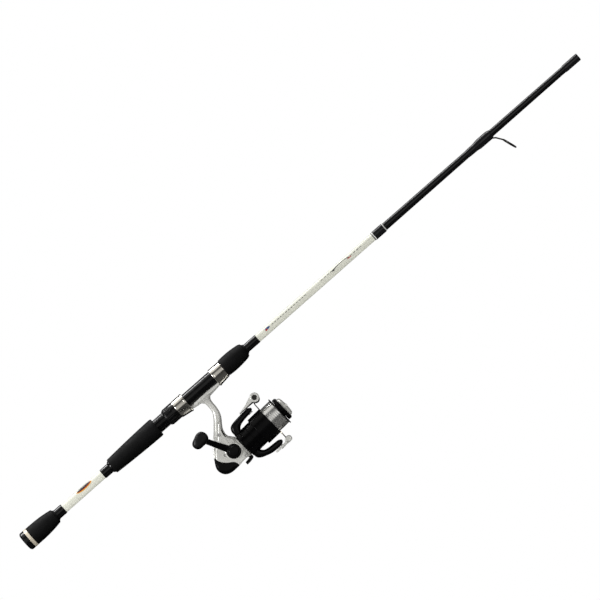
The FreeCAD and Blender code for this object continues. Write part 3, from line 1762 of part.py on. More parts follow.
def crank():
    """The handle's shaft, its arm with the round hub, and the cap on the hub."""
    inner_end = -d.bearing_right + 0.6
    turned(
        "handle_shaft",
        [
            (inner_end, 0),
            (d.hub_inner, 0),
            (d.hub_inner, d.shank_radius),
            (d.gear_hub_left, d.shank_radius),
            (d.gear_hub_left, d.hex_hole_radius),
            (inner_end, d.hex_hole_radius),
        ],
        CRANK,
    )
    inner = d.hub_inner
    outer = d.hub_outer
    hub = turned(
        "hub",
        [
            (inner, 0),
            (outer, 0),
            (outer, d.hub_radius - 1.2),
            (outer - 1.2, d.hub_radius),
            (inner + 0.8, d.hub_radius),
            (inner, d.hub_radius - 0.8),
        ],
        CRANK,
        is_node=False,
    )
    end = d.arm_end
    length = d.crank_length
    thickness = d.arm_thickness
    side_view = [
        (outer - thickness - 2.5, 0),
        (outer - 2, 0),
        (outer, 7, -0.6),
        (end - 0.6, length - 8, 0.5),
        (end, length - 4),
        (end, length + 5),
        (end - thickness, length + 5),
        (end - thickness, length - 3),
        (outer - thickness, 8.5),
    ]
    side = slab("arm_side", "XZ_Plane", side_view, -7, 7, ARM, is_node=False)
    root = d.arm_root_width / 2
    tip = d.crank_tip_width / 2
    front_view = [
        (-root, 0),
        (root, 0),
        (tip, length - 6),
        (tip + 0.7, length, tip + 0.5),
        (-tip - 0.7, length),
        (-tip, length - 6),
    ]
    front = slab("arm_front", "YZ_Plane", front_view, 20, 60, ARM, is_node=False)
    arm = shared("arm", side, front, is_node=False)
    post_hole = rod_bar("post_hole", "YZ_Plane", (0, length), d.knob_post_radius, 30, 60, ARM, is_node=False)
    cap_seat = rod_bar("cap_seat", "YZ_Plane", (0, 0), d.hub_cap_radius, outer - 1, outer + 9, ARM,
                       is_node=False)
    solid = joined("arm_solid", [hub, arm], is_node=False)
    cut("handle_arm", solid, joined("arm_bores", [post_hole, cap_seat], is_node=False))
    turned(
        "hub_cap",
        [
            (outer - 1, 0),
            (outer - 1, d.hub_cap_radius),
            (outer + 0.2, d.hub_cap_radius, -0.2),
            (outer + 0.9, d.hub_cap_radius - 1.2),
            (outer + 1.1, 1.5),
            (outer + 1.1, 0),
        ],
        CRANK,
    )
    knob(length)


def knob(length):
    """The knob turns freely on a post that is riveted into the arm."""
    post = d.knob_post_radius
    end = d.arm_end
    away = math.radians(d.crank_angle.value)
    place = FreeCAD.Vector(0, length.value * math.cos(away), length.value * math.sin(away))
    frame = CRANK.multiply(FreeCAD.Placement(place, FreeCAD.Rotation()))
    turned(
        "knob_post",
        [
            (end - d.arm_thickness - 0.7, 0),
            (d.knob_outer - 4, 0),
            (d.knob_outer - 4, post + 1.2),
            (d.knob_outer - 5.2, post + 1.2),
            (d.knob_outer - 5.2, post),
            (end - d.arm_thickness, post),
            (end - d.arm_thickness, post + 1.2),
            (end - d.arm_thickness - 0.7, post + 0.8),
        ],
        frame,
    )
    egg = [
        (0.6, -7.3, 6.9),
        (0.6, 7.5),
        (-7.4, 5.0, 5.1),
        (-7.4, -6.2),
    ]
    body = slab("knob_body", "YZ_Plane", egg, d.knob_inner, d.knob_outer, frame, is_node=False)
    low = d.knob_inner
    high = d.knob_outer
    above = [
        (low, -11),
        (low + 1.5, -13, 0.6),
        (high - 4, -13, 1.6),
        (high, -9),
        (high, 4.5, 1.6),
        (high - 4, 8.3),
        (low + 1.5, 8.3, 0.6),
        (low, 6.8),
    ]
    limits = slab("knob_limits", "XY_Plane", above, -9, 9, frame, is_node=False)
    rounded = shared("knob_rounded", body, limits, is_node=False)
    gap = d.running_gap
    bore = turned(
        "knob_bore",
        [
            (d.knob_inner - 1, 0),
            (d.knob_outer - 3.8, 0),
            (d.knob_outer - 3.8, post + 1.3),
            (d.knob_outer - 5.4, post + 1.3),
            (d.knob_outer - 5.4, post + gap),
            (d.knob_inner - 1, post + gap),
        ],
        frame,
        is_node=False,
    )
    cut("handle_knob", rounded, bore)



# ---------------------------------------------------------------- build, check and write


def build():
    rod_blank()
    butt_pieces()
    rear_grip_pieces()
    fore_grip_pieces()
    wraps()
    line_guide()
    seat_barrel()
    hood_nut()
    hoods()
    reel_body()
    side_cover()
    cover_screws()
    rear_cover()
    off_side_cap()
    nose_collar()
    gear_train()
    anti_reverse()
    rotor()
    rotor_nut()
    bail_pivots()
    bail_arm()
    roller_set()
    bail_holder()
    bail_wire()
    spool()
    drag_stack()
    drag_knob()
    crank()


def check():
    """Stop before anything is written if any object failed or any sub-part is not sound."""
    doc.recompute()
    for feature in doc.Objects:
        if "Invalid" in feature.State or "Error" in feature.State:
            raise RuntimeError(f"{feature.Label} failed: {feature.State}")
    for feature in nodes:
        shape = feature.Shape
        if shape.isNull() or not shape.isValid() or not shape.Solids:
            raise RuntimeError(f"{feature.Label} is not a valid solid")


def write():
    os.makedirs("parts", exist_ok=True)
    for feature in nodes:
        feature.Shape.exportStep(f"parts/{feature.Label}.step")
    print(len(nodes), "sub-parts written")


build()
check()
write()
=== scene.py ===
import json
import math

import bmesh
import bpy
from mathutils import Matrix, Vector


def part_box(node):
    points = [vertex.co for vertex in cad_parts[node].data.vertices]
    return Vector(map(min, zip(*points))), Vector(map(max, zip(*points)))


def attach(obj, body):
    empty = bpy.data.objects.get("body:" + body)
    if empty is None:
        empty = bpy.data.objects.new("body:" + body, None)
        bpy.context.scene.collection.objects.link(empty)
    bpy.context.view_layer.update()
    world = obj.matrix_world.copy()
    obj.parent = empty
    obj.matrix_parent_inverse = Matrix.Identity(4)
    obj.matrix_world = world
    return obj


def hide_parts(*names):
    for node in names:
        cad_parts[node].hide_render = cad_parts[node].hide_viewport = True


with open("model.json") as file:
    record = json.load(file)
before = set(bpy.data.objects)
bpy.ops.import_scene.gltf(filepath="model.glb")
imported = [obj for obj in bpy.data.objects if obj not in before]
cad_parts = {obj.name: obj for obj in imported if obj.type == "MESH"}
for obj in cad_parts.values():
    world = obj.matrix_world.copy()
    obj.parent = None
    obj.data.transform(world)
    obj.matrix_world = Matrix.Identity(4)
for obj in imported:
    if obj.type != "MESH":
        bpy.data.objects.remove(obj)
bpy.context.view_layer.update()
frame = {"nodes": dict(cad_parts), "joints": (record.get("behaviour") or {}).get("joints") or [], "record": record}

# The seen surfaces of a spinning rod and reel. Shapes are drawn in millimetres, either in the part's own
# frame (PART) or in the reel's tilted one (REEL, with x along its spindle), and come out in metres.

MM = 0.001
SHARP_ANGLE = math.radians(38)  # a drawn edge steeper than this stays hard
BEVEL_ANGLE = math.radians(35)  # a CAD edge steeper than this is softened
SAME_POINT = 1e-5  # drawn vertices closer than this, in millimetres, are joined
BLACK = (0.0015, 0.0015, 0.0018)
INK = (0.05, 0.05, 0.055)

nodes = frame["nodes"]
joints = {joint["name"]: joint for joint in frame["joints"]}

spin = joints["rotor_turn"]
TILT = math.atan2(spin["axis"][2], spin["axis"][0])
PART = Matrix.Identity(4)
REEL = Matrix.Translation(Vector(spin["pos_m"]) / MM) @ Matrix.Rotation(-TILT, 4, "Y")
TO_REEL = REEL.inverted()
crank_at = TO_REEL @ (Vector(joints["crank_turn"]["pos_m"]) / MM)
knob_at = TO_REEL @ (Vector(joints["knob_spin"]["pos_m"]) / MM)


# ---------------------------------------------------------------- mesh helpers


def fillet(points, steps=5):
    """A closed polygon with rounded corners. A point is (u, v), or (u, v, radius)."""
    out = []
    count = len(points)
    for i, point in enumerate(points):
        here = Vector(point[:2])
        radius = point[2] if len(point) > 2 else 0
        if not radius:
            out.append(here)
            continue
        back = Vector(points[i - 1][:2]) - here
        on = Vector(points[(i + 1) % count][:2]) - here
        half = back.angle(on) / 2
        reach = min(radius / math.tan(half), 0.49 * back.length, 0.49 * on.length)
        bend = reach * math.tan(half)
        first = here + back.normalized() * reach
        last = here + on.normalized() * reach
        centre = here + (back.normalized() + on.normalized()).normalized() * (bend / math.sin(half))
        sweep = (first - centre).angle_signed(last - centre)
        for k in range(steps + 1):
            turn = Matrix.Rotation(-sweep * k / steps, 2)
            out.append(centre + turn @ (first - centre))
    return [tuple(p) for p in out]


def curve(p0, p1, p2, p3, spacing):
    """Points from p1 to just before p2, on a smooth curve whose slopes also take in p0 and p3."""
    d0, d1, d2 = (p1 - p0).length, (p2 - p1).length, (p3 - p2).length
    t1 = (p2 - p0) * (d1 / max(d0 + d1, 1e-6))
    t2 = (p3 - p1) * (d1 / max(d1 + d2, 1e-6))
    steps = max(2, round(d1 / spacing))
    out = []
    for k in range(steps):
        t = k / steps
        out.append(
            p1 * (2 * t**3 - 3 * t**2 + 1) + t1 * (t**3 - 2 * t**2 + t)
            + p2 * (3 * t**2 - 2 * t**3) + t2 * (t**3 - t**2)
        )
    return out


def smooth_loop(points, spacing):
    """A dense closed curve through points. A point with a third value of 1 stays a corner."""
    out = []
    count = len(points)
    for i, start in enumerate(points):
        stop = points[(i + 1) % count]
        p1, p2 = Vector(start[:2]), Vector(stop[:2])
        p0 = p1 * 2 - p2 if len(start) > 2 else Vector(points[i - 1][:2])
        p3 = p2 * 2 - p1 if len(stop) > 2 else Vector(points[(i + 2) % count][:2])
        out += [tuple(p) for p in curve(p0, p1, p2, p3, spacing)]
    return out


def area(loop):
    """The area of a closed loop, above zero when it runs counterclockwise."""
    return sum(a[0] * b[1] - b[0] * a[1] for a, b in zip(loop, loop[1:] + loop[:1])) / 2


class Shape:
    """Vertices and faces in millimetres, gathered from one or more closed shells."""

    def __init__(self):
        self.verts = []
        self.faces = []

    def rings(self, rings):
        """Skin between rings of equally many points, closed at the first and the last ring."""
        base = len(self.verts)
        size = len(rings[0])
        for ring in rings:
            self.verts += [tuple(p) for p in ring]
        for i in range(len(rings) - 1):
            for k in range(size):
                a = base + i * size + k
                b = base + i * size + (k + 1) % size
                self.faces.append((a, b, b + size, a + size))
        self.faces.append(tuple(base + k for k in reversed(range(size))))
        top = base + (len(rings) - 1) * size
        self.faces.append(tuple(top + k for k in range(size)))
        return self

    def lathe(self, profile, centre=(0, 0, 0), axis="X", segments=96):
        """Turn a closed profile (along, radius) about an axis through centre."""
        base = len(self.verts)
        size = len(profile)
        for s in range(segments):
            a = 2 * math.pi * s / segments
            for along, radius in profile:
                u, v = radius * math.cos(a), radius * math.sin(a)
                point = {"X": (along, u, v), "Y": (u, along, v)}[axis]
                self.verts.append(tuple(Vector(point) + Vector(centre)))
        for s in range(segments):
            on = (s + 1) % segments
            for k in range(size):
                a, b = base + s * size + k, base + s * size + (k + 1) % size
                c, e = base + on * size + (k + 1) % size, base + on * size + k
                self.faces.append((a, b, c, e))
        return self

    def pillow(self, loop, low, high, round_low, round_high=None, weight=None, plane="XZ", steps=5):
        """A plate from a dense outline in the XZ or XY plane, from low to high, with rounded rims.

        weight(u, v) scales how far the rounding reaches inward.
        """
        round_high = round_low if round_high is None else round_high
        loop = loop if area(loop) > 0 else loop[::-1]
        points = [Vector(p) for p in loop]
        count = len(points)
        inward = []
        for i, p in enumerate(points):
            tangent = (points[(i + 1) % count] - points[i - 1]).normalized()
            w = weight(*p) if weight else 1.0
            inward.append(Vector((-tangent.y, tangent.x)) * w)
        levels = [(low, round_low, k) for k in range(steps + 1)]
        levels += [(high, -round_high, k) for k in reversed(range(steps + 1))]
        rings = []
        for level, radius, k in levels:
            a = math.pi / 2 * k / steps
            height = level + radius * (1 - math.cos(a))
            inset = abs(radius) * (1 - math.sin(a))
            flat = [p + n * inset for p, n in zip(points, inward)]
            if plane == "XZ":
                rings.append([(q.x, height, q.y) for q in flat])
            else:
                rings.append([(q.x, q.y, height) for q in flat])
        return self.rings(rings)

    def sweep(self, stations, power=2.5, segments=40):
        """A bar through stations (centre, half side vector, half thickness vector).

        A power of 2 gives an oval section, and a higher one a squarer section.
        """
        rings = []
        for centre, side, thick in stations:
            ring = []
            for k in range(segments):
                a = 2 * math.pi * k / segments
                c, s = math.cos(a), math.sin(a)
                u = math.copysign(abs(c) ** (2 / power), c)
                v = math.copysign(abs(s) ** (2 / power), s)
                ring.append(Vector(centre) + Vector(side) * u + Vector(thick) * v)
            rings.append(ring)
        return self.rings(rings)


def piece(name, shape, material, body, place, replaces):
    """A finished object from a shape, on a body, in place of the CAD nodes named in replaces."""
    mesh = bpy.data.meshes.new(name)
    mesh.from_pydata(shape.verts, [], shape.faces)
    work = bmesh.new()
    work.from_mesh(mesh)
    bmesh.ops.remove_doubles(work, verts=work.verts, dist=SAME_POINT)
    bmesh.ops.triangulate(work, faces=[f for f in work.faces if len(f.verts) > 4])
    bmesh.ops.recalc_face_normals(work, faces=work.faces)
    work.to_mesh(mesh)
    work.free()
    mesh.transform(Matrix.Scale(MM, 4) @ place)
    mesh.shade_smooth()
    mesh.set_sharp_from_angle(angle=SHARP_ANGLE)
    mesh.update()
    obj = bpy.data.objects.new(name, mesh)
    bpy.context.scene.collection.objects.link(obj)
    mesh.materials.append(material)
    weighted = obj.modifiers.new("normals", "WEIGHTED_NORMAL")
    weighted.keep_sharp = True
    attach(obj, body)
    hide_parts(*replaces)


def paired(first, second, thickness, middle=None, spacing=1.5):
    """Sweep stations between two matching edge lines (x, z), with a half thickness and a middle y each."""
    middle = middle or [0.0] * len(first)
    rows = [Vector((*a, *b, half, y)) for a, b, half, y in zip(first, second, thickness, middle)]
    dense = []
    for i, (p1, p2) in enumerate(zip(rows, rows[1:])):
        p0 = rows[i - 1] if i else p1 * 2 - p2
        p3 = rows[i + 2] if i + 2 < len(rows) else p2 * 2 - p1
        dense += curve(p0, p1, p2, p3, spacing)
    dense.append(rows[-1])
    stations = []
    for ax, az, bx, bz, half, y in dense:
        centre = Vector(((ax + bx) / 2, y, (az + bz) / 2))
        side = Vector(((bx - ax) / 2, 0, (bz - az) / 2))
        stations.append((centre, side, Vector((0, half, 0))))
    return stations


def rounded_end(stations, reach=0.6):
    """Close a bar's last end with a dome: extra stations that shrink to a small one."""
    steps = 4
    last_share = 0.35  # keeps the last station a little short of a point
    centre, side, thick = stations[-1]
    out = (centre - stations[-2][0]).normalized() * min(side.length, thick.length) * reach
    extra = []
    for k in range(1, steps + 1):
        a = math.pi / 2 * k / (steps + last_share)
        extra.append((centre + out * math.sin(a), side * math.cos(a), thick * math.cos(a)))
    return stations + extra


# ---------------------------------------------------------------- materials


class Look:
    """A material whose nodes are made and joined by short calls."""

    def __init__(self, name):
        self.material = bpy.data.materials.new(name)
        self.material.use_nodes = True
        self.tree = self.material.node_tree
        self.shader = self.tree.nodes["Principled BSDF"]
        self.place = self.tree.nodes.new("ShaderNodeTexCoord").outputs["Object"]
        self.bumps = None

    def join(self, value, socket):
        """Link an output to a socket, or set a plain value on it."""
        if isinstance(value, bpy.types.NodeSocket):
            self.tree.links.new(value, socket)
        else:
            socket.default_value = value

    def math(self, operation, *values):
        node = self.tree.nodes.new("ShaderNodeMath")
        node.operation = operation
        for value, socket in zip(values, node.inputs):
            self.join(value, socket)
        return node.outputs[0]

    def axis(self, name, vector=None):
        node = self.tree.nodes.new("ShaderNodeSeparateXYZ")
        self.join(vector or self.place, node.inputs[0])
        return node.outputs[name]

    def scaled(self, scale, turn=0.0):
        node = self.tree.nodes.new("ShaderNodeMapping")
        self.join(self.place, node.inputs["Vector"])
        node.inputs["Scale"].default_value = scale
        node.inputs["Rotation"].default_value = (0, turn, 0)
        return node.outputs[0]

    def noise(self, scale, detail=3.0, rough=0.55, vector=None):
        node = self.tree.nodes.new("ShaderNodeTexNoise")
        self.join(vector or self.place, node.inputs["Vector"])
        node.inputs["Scale"].default_value = scale
        node.inputs["Detail"].default_value = detail
        node.inputs["Roughness"].default_value = rough
        return node.outputs["Fac"]

    def cells(self, scale):
        node = self.tree.nodes.new("ShaderNodeTexVoronoi")
        self.join(self.place, node.inputs["Vector"])
        node.inputs["Scale"].default_value = scale
        return node.outputs["Distance"]

    def span(self, value, low, high, to_low=0.0, to_high=1.0):
        """Map low...high to to_low...to_high, held level outside."""
        node = self.tree.nodes.new("ShaderNodeMapRange")
        for number, socket in zip((low, high, to_low, to_high), list(node.inputs)[1:5]):
            socket.default_value = number
        self.join(value, node.inputs[0])
        return node.outputs[0]

    def mix(self, factor, first, second):
        node = self.tree.nodes.new("ShaderNodeMix")
        node.data_type = "RGBA"
        self.join(factor, node.inputs[0])
        for value, socket in ((first, node.inputs[6]), (second, node.inputs[7])):
            self.join((*value, 1) if isinstance(value, tuple) else value, socket)
        return node.outputs[2]

    def bump(self, height, distance, strength=1.0):
        """Add a bump on top of those made before."""
        node = self.tree.nodes.new("ShaderNodeBump")
        node.inputs["Strength"].default_value = strength
        node.inputs["Distance"].default_value = distance
        self.join(height, node.inputs["Height"])
        if self.bumps:
            self.join(self.bumps, node.inputs["Normal"])
        self.bumps = node.outputs[0]
        self.join(self.bumps, self.shader.inputs["Normal"])

    def set(self, **values):
        for name, value in values.items():
            self.join(value, self.shader.inputs[name.replace("_", " ")])
        return self


def tint(colour, factor):
    return tuple(c * factor for c in colour)


def surface(name, colour, rough, metal=0.0, coat=0.0, patch=0.12, smear=0.08, grain=(2500, 0.02),
            shine=0.5):
    """A material with colour patches, uneven gloss and a fine grain. grain is (scale, depth in mm)."""
    look = Look(name)
    look.set(Specular_IOR_Level=shine)
    broad = look.noise(55, 4)
    base = look.mix(look.span(broad, 0.35, 0.65), tint(colour, 1 - patch), tint(colour, 1 + patch))
    handled = look.noise(180, 5, 0.65)
    look.set(
        Base_Color=base,
        Roughness=look.span(handled, 0.3, 0.7, rough - smear, rough + smear),
        Metallic=metal,
        Coat_Weight=coat,
        Coat_Roughness=0.08,
    )
    look.bump(look.noise(grain[0], 2), grain[1] * MM)
    look.base = base
    return look


def blank_look():
    """Gloss paint: white at the butt and black towards the tip, with generic marks on it.

    A mark's place is x along the rod in millimetres, and an angle up from the side towards the crank.
    """
    look = surface("blank_paint", (0.66, 0.665, 0.585), 0.22, patch=0.02, smear=0.04, grain=(300, 0.0002),
                   shine=0.28)
    x = look.math("MULTIPLY", look.axis("X"), 1000)
    y, z = look.axis("Y"), look.axis("Z")
    angle = look.math("ARCTAN2", z, look.math("MULTIPLY", y, -1))

    def between(value, low, high, soft):
        up = look.span(value, low - soft, low + soft)
        down = look.span(value, high - soft, high + soft, 1, 0)
        return look.math("MULTIPLY", up, down)

    def oval(x0, half_x, a0, half_a):
        along = look.math("SUBTRACT", x, x0)
        across = look.math("SUBTRACT", angle, a0)
        u = look.math("POWER", look.math("DIVIDE", along, half_x), 2)
        v = look.math("POWER", look.math("DIVIDE", across, half_a), 2)
        return look.span(look.math("ADD", u, v), 0.9, 1.1, 1, 0)

    def dashes(start, stop, level, period):
        half_height = 0.075
        band = between(angle, level - half_height, level + half_height, 0.02)
        run = between(x, start, stop, 0.2)
        wave = look.math("SINE", look.math("MULTIPLY", x, 2 * math.pi / period))
        dash = look.span(wave, -0.45, -0.25)
        return look.math("MULTIPLY", look.math("MULTIPLY", band, run), dash)

    paint = look.base
    for x0, half_x, a0, half_a, colour in (
        (-177, 11.5, 0.65, 0.55, (0.62, 0.32, 0.05)),
        (-177, 10.6, 0.73, 0.42, (0.33, 0.03, 0.02)),
        (-177.5, 10.2, 0.82, 0.36, (0.02, 0.02, 0.022)),
        (106.5, 3.6, 0.3, 0.3, (0.05, 0.08, 0.2)),
        (104.5, 1.6, 0.12, 0.2, (0.4, 0.03, 0.03)),
    ):
        paint = look.mix(oval(x0, half_x, a0, half_a), paint, colour)
    for row in ((113, 166, 0.28, 4.2), (190, 208, 0.42, 5.0), (232, 252, 0.3, 5.0)):
        paint = look.mix(dashes(*row), paint, INK)
    hollow = look.span(oval(221, 11, 0.12, 0.4), 0, 1, 1, 0)
    crescent = look.math("MULTIPLY", oval(220, 13, 0.28, 0.42), hollow)
    paint = look.mix(crescent, paint, (0.04, 0.04, 0.045))
    paint = look.mix(oval(233, 3.2, 0.1, 0.12), paint, (0.45, 0.04, 0.03))
    tip = look.span(x, 286.4, 286.8)
    look.set(Base_Color=look.mix(tip, paint, (0.003, 0.003, 0.0035)))
    return look.material


def wrap_look():
    """Black thread under clear resin, with thin silver threads near its ends."""
    look = surface("thread_wrap", (0.006, 0.006, 0.007), 0.22, patch=0.2, smear=0.05, grain=(300, 0.0008),
                   shine=0.28)
    thread = 0.32
    x = look.math("MULTIPLY", look.axis("X"), 1000)
    turns = look.math("SINE", look.math("MULTIPLY", x, 2 * math.pi / thread))
    look.bump(turns, 0.003 * MM)

    def band(middle):
        off = look.math("ABSOLUTE", look.math("SUBTRACT", x, middle))
        return look.span(off, 0.4, 0.55, 1, 0)

    silver = look.math("MAXIMUM", band(271.2), band(286.9))
    look.set(Base_Color=look.mix(silver, look.base, (0.7, 0.7, 0.68)))
    return look.material


def foam_look():
    """Closed-cell foam: matt, with open cells cut through at its face."""
    look = surface("foam_grip", (0.0016, 0.0016, 0.0018), 0.7, patch=0.25, grain=(1400, 0.01), shine=0.14)
    cells = look.cells(1500)
    look.bump(look.span(cells, 0.1, 0.55), 0.02 * MM, 0.8)
    pits = look.span(look.noise(420, 2), 0.62, 0.72)
    look.bump(pits, -0.02 * MM)
    return look.material


def brushed_look(name, colour, rough, around, metal=1.0):
    """Metal brushed round an axis: fine lines with a little wear between them."""
    scale = 3200
    look = surface(name, colour, rough, metal=metal, patch=0.05, smear=0.05, grain=(400, 0.0008))
    stretch = {"X": (scale, 60, 60), "Y": (60, scale, 60)}[around]
    lines = look.noise(1.0, 3, vector=look.scaled(stretch))
    look.bump(lines, 0.0009 * MM)
    return look.material


def line_look():
    """Wound nylon line: level turns side by side that wander a little, and shine like metal."""
    look = surface("nylon_line", (0.78, 0.78, 0.76), 0.2, patch=0.03, smear=0.04, grain=(300, 0.0004))
    line = 0.36
    turned = look.scaled((1, 1, 1), TILT)
    x = look.math("MULTIPLY", look.axis("X", turned), 1000)
    wander = look.math("MULTIPLY", look.noise(260, 2), 0.5)
    turns = look.math("SINE", look.math("MULTIPLY", look.math("ADD", x, wander), 2 * math.pi / line))
    look.bump(turns, 0.0015 * MM)
    look.set(Metallic=0.9)
    return look.material


def silver_look():
    """Silver paint: fine metal flake under a clear coat."""
    colour = (0.62, 0.62, 0.59)
    look = surface("reel_silver", colour, 0.34, metal=0.3, coat=0.25, patch=0.03, smear=0.04,
                   grain=(350, 0.0015))
    flake = look.cells(6000)
    look.set(Base_Color=look.mix(look.span(flake, 0.1, 0.7), tint(colour, 1.03), look.base))
    return look.material


def make_looks():
    """Every material, by the name of the slot it fills."""
    made = {}

    def plain(name, colour, rough, **more):
        made[name] = surface(name, colour, rough, **more).material

    def brushed(name, colour, rough, around, **more):
        made[name] = brushed_look(name, colour, rough, around, **more)

    plain("reel_black", BLACK, 0.26, patch=0.2, grain=(600, 0.001), shine=0.12)
    made["blank_paint"] = blank_look()
    made["thread_wrap"] = wrap_look()
    made["foam_grip"] = foam_look()
    plain("moulded_black", BLACK, 0.22, grain=(700, 0.0008), shine=0.4)
    plain("gloss_black", BLACK, 0.14, grain=(300, 0.0006), shine=0.5)
    brushed("champagne_metal", (0.62, 0.56, 0.45), 0.45, "X", metal=0.4)
    brushed("hood_metal", (0.86, 0.83, 0.76), 0.16, "X")
    brushed("dark_steel", (0.05, 0.048, 0.045), 0.3, "X", metal=0.9)
    plain("ceramic", (0.02, 0.02, 0.022), 0.12, coat=0.5, grain=(600, 0.003))
    made["reel_silver"] = silver_look()
    brushed("bright_steel", (0.56, 0.56, 0.56), 0.24, "X")
    plain("zinc_alloy", (0.42, 0.42, 0.44), 0.42, metal=0.9, grain=(900, 0.02))
    brushed("brass_gear", (0.70, 0.52, 0.26), 0.28, "X")
    brushed("bail_steel", (0.34, 0.29, 0.22), 0.25, "Y")
    plain("moulded_white", (0.72, 0.72, 0.69), 0.5, grain=(1500, 0.01))
    made["nylon_line"] = line_look()
    plain("felt", (0.55, 0.53, 0.46), 0.95, patch=0.2, grain=(1800, 0.1))
    plain("soft_knob", (0.0018, 0.0018, 0.002), 0.4, patch=0.25, grain=(900, 0.002), shine=0.22)
    return made


looks = make_looks()


# ---------------------------------------------------------------- the reel's body


def foot():
    """The foot: a tongue under the seat that follows its round underside, thickest over the stem."""
    heights = [(-29, 10.3), (-25, 11.1), (-21, 12.0), (-14, 13.2), (-6, 13.9), (4, 13.9), (12, 13.2),
               (21, 12.0), (25, 11.1), (29, 10.3)]
    widths = [(-29, 3.0), (-27.5, 4.4), (-25, 4.9), (-20, 5.0), (-12, 6.6), (-6, 7.4), (4, 7.4), (12, 6.6),
              (20, 5.0), (25, 4.9), (27.5, 4.4), (29, 3.0)]
    saddle = 8.93  # radius of the upper face, which lies on the seat's barrel
    end, step, across, rim = 29, 0.5, 24, 0.35

    def read(table, x):
        """The table's value at x, half straight and half eased between its rows."""
        for (x1, v1), (x2, v2) in zip(table, table[1:]):
            if x <= x2:
                t = (x - x1) / (x2 - x1)
                t = t * t * (3 - 2 * t) * 0.5 + t * 0.5
                return v1 + (v2 - v1) * t
        return table[-1][1]

    rings = []
    for i in range(round(2 * end / step) + 1):
        x = -end + i * step
        outer = read(heights, x)
        half = math.asin(min(read(widths, x) / outer, 0.95))
        under = []
        over = []
        for k in range(across + 1):
            u = -1 + 2 * k / across
            a = u * half
            edge = (1 - abs(u) ** 3.2) ** (1 / 2.2)  # full in the middle, round towards the sides
            radius = saddle + rim + (outer - saddle - rim) * edge
            under.append((x, radius * math.sin(a), -radius * math.cos(a)))
            over.append((x, saddle * math.sin(a), -saddle * math.cos(a)))
        rings.append(under + over[::-1])
    return Shape().rings(rings)


def stem_stations():
    """The curved stem and the housing it widens into, from the foot down."""
    rear = [(4, 73.4), (10.3, 70.6), (13.2, 67.6), (13.9, 63.9), (13.7, 58.9), (12.8, 53.9), (10.4, 50.0),
            (6.5, 45.2), (1.9, 40.5), (-3.4, 35.2), (-8.1, 31.0), (-13.6, 25.6), (-18.2, 20.0),
            (-21.6, 16.2), (-22.4, 13)]
    front = [(31, 72.3), (25.6, 69.9), (22.6, 66.9), (21.4, 63.0), (20.9, 56.5), (19.9, 50.5), (17.9, 45.0),
             (14.9, 40.4), (11.5, 36.3), (8.8, 32.4), (7.0, 28.9), (6.1, 25.4), (6.6, 21.8), (9.3, 18.2),
             (10, 14)]
    half = [7.0, 5.8, 4.9, 4.5, 4.4, 4.5, 4.7, 5.1, 5.8, 6.8, 8.1, 9.6, 10.8, 11.3, 11.4]
    middle = [0, 0, 0, 0, 0, 0, 0, 0, 0.1, 0.3, 0.6, 0.9, 1.1, 1.2, 1.2]
    return paired(rear, front, half, middle, 1.2)


# The seam between the painted housing and the black rear shell, (x, z) from the top down.
REAR_SEAM = [(-23.2, 13.2), (-23.0, 9.7), (-21.5, 5.6), (-19.1, 2.0), (-15.3, -1.7), (-11.5, -4.4),
             (-9.1, -7.0), (-8.1, -10.1), (-7.4, -12.8)]


def body():
    """The stem and housing, one painted casting, with a round neck at the front."""
    shape = Shape()
    shape.sweep(stem_stations(), power=2.7, segments=56)
    loop = smooth_loop(
        [(-8.1, 31.0, 1), (-14.5, 24.9), (-19.6, 18.6)] + REAR_SEAM[:-1]
        + [(-7.4, -12.7, 1), (2, -12.0), (10.6, -13.0, 1), (10.6, 16.4, 1), (7.2, 19.6), (6.0, 24.0),
           (7.2, 29.3, 1)],
        0.9,
    )

    def soft(x, z):
        """Full rounding outside, and little where the housing meets the rotor."""
        return 1.0 if x < -8 or z < -8 or z > 12 else 0.35

    shape.pillow(loop, low=-10.3, high=12.9, round_low=1.2, round_high=3.4, weight=soft)
    neck = fillet(
        [(1.5, 0), (1.5, 11.2, 1), (4.5, 13.2, 3), (8.2, 13.9, 2), (9.0, 14.7, 0.6), (11.7, 14.75, 0.5),
         (11.7, 13.3), (11.2, 13.25), (11.2, 0)],
    )
    shape.lathe(neck, centre=(0, 0, 1.0), segments=128)
    boss = fillet([(12.0, 0), (12.0, 8.6), (13.6, 8.2, 0.5), (13.6, 7.0), (13.2, 6.9), (13.2, 0)])
    shape.lathe(boss, centre=(crank_at.x, 0, crank_at.z), axis="Y", segments=96)
    foot_shape = foot()
    base = len(shape.verts)
    shape.verts += [tuple(TO_REEL @ Vector(v)) for v in foot_shape.verts]
    shape.faces += [tuple(base + i for i in f) for f in foot_shape.faces]
    return shape


def side_cover():
    """The lid on the crank's side, with a raised round land under the crank."""
    loop = smooth_loop(
        [(10.9, 42.6, 1), (5.7, 37.0), (0.4, 31.9), (-5.4, 26.0), (-10.6, 22.6), (-15.2, 19.3),
         (-18.6, 16.2), (-21.6, 12.9, 1)] + [(x + 0.35, z + 0.2) for x, z in REAR_SEAM[1:-1]]
        + [(-7.2, -12.3, 1), (2, -11.7), (8.9, -12.4, 1), (8.9, 15.9, 1), (6.1, 19.2), (5.2, 23.8),
           (6.3, 29.2), (8.8, 34.0), (12.0, 38.6, 1)],
        0.8,
    )
    shape = Shape().pillow(loop, low=-13.0, high=-10.2, round_low=1.5, round_high=0.3, steps=6)
    land = fillet(
        [(-12.5, 0), (-12.5, 11.2), (-13.5, 10.6, 0.4), (-13.7, 9.9, 0.3), (-14.6, 9.5, 0.5),
         (-15.2, 7.2, 0.5), (-16.4, 6.4, 0.4), (-16.4, 4.0, 0.2), (-12.5, 3.9)],
    )
    shape.lathe(land, centre=(crank_at.x, 0, crank_at.z), axis="Y", segments=112)
    return shape


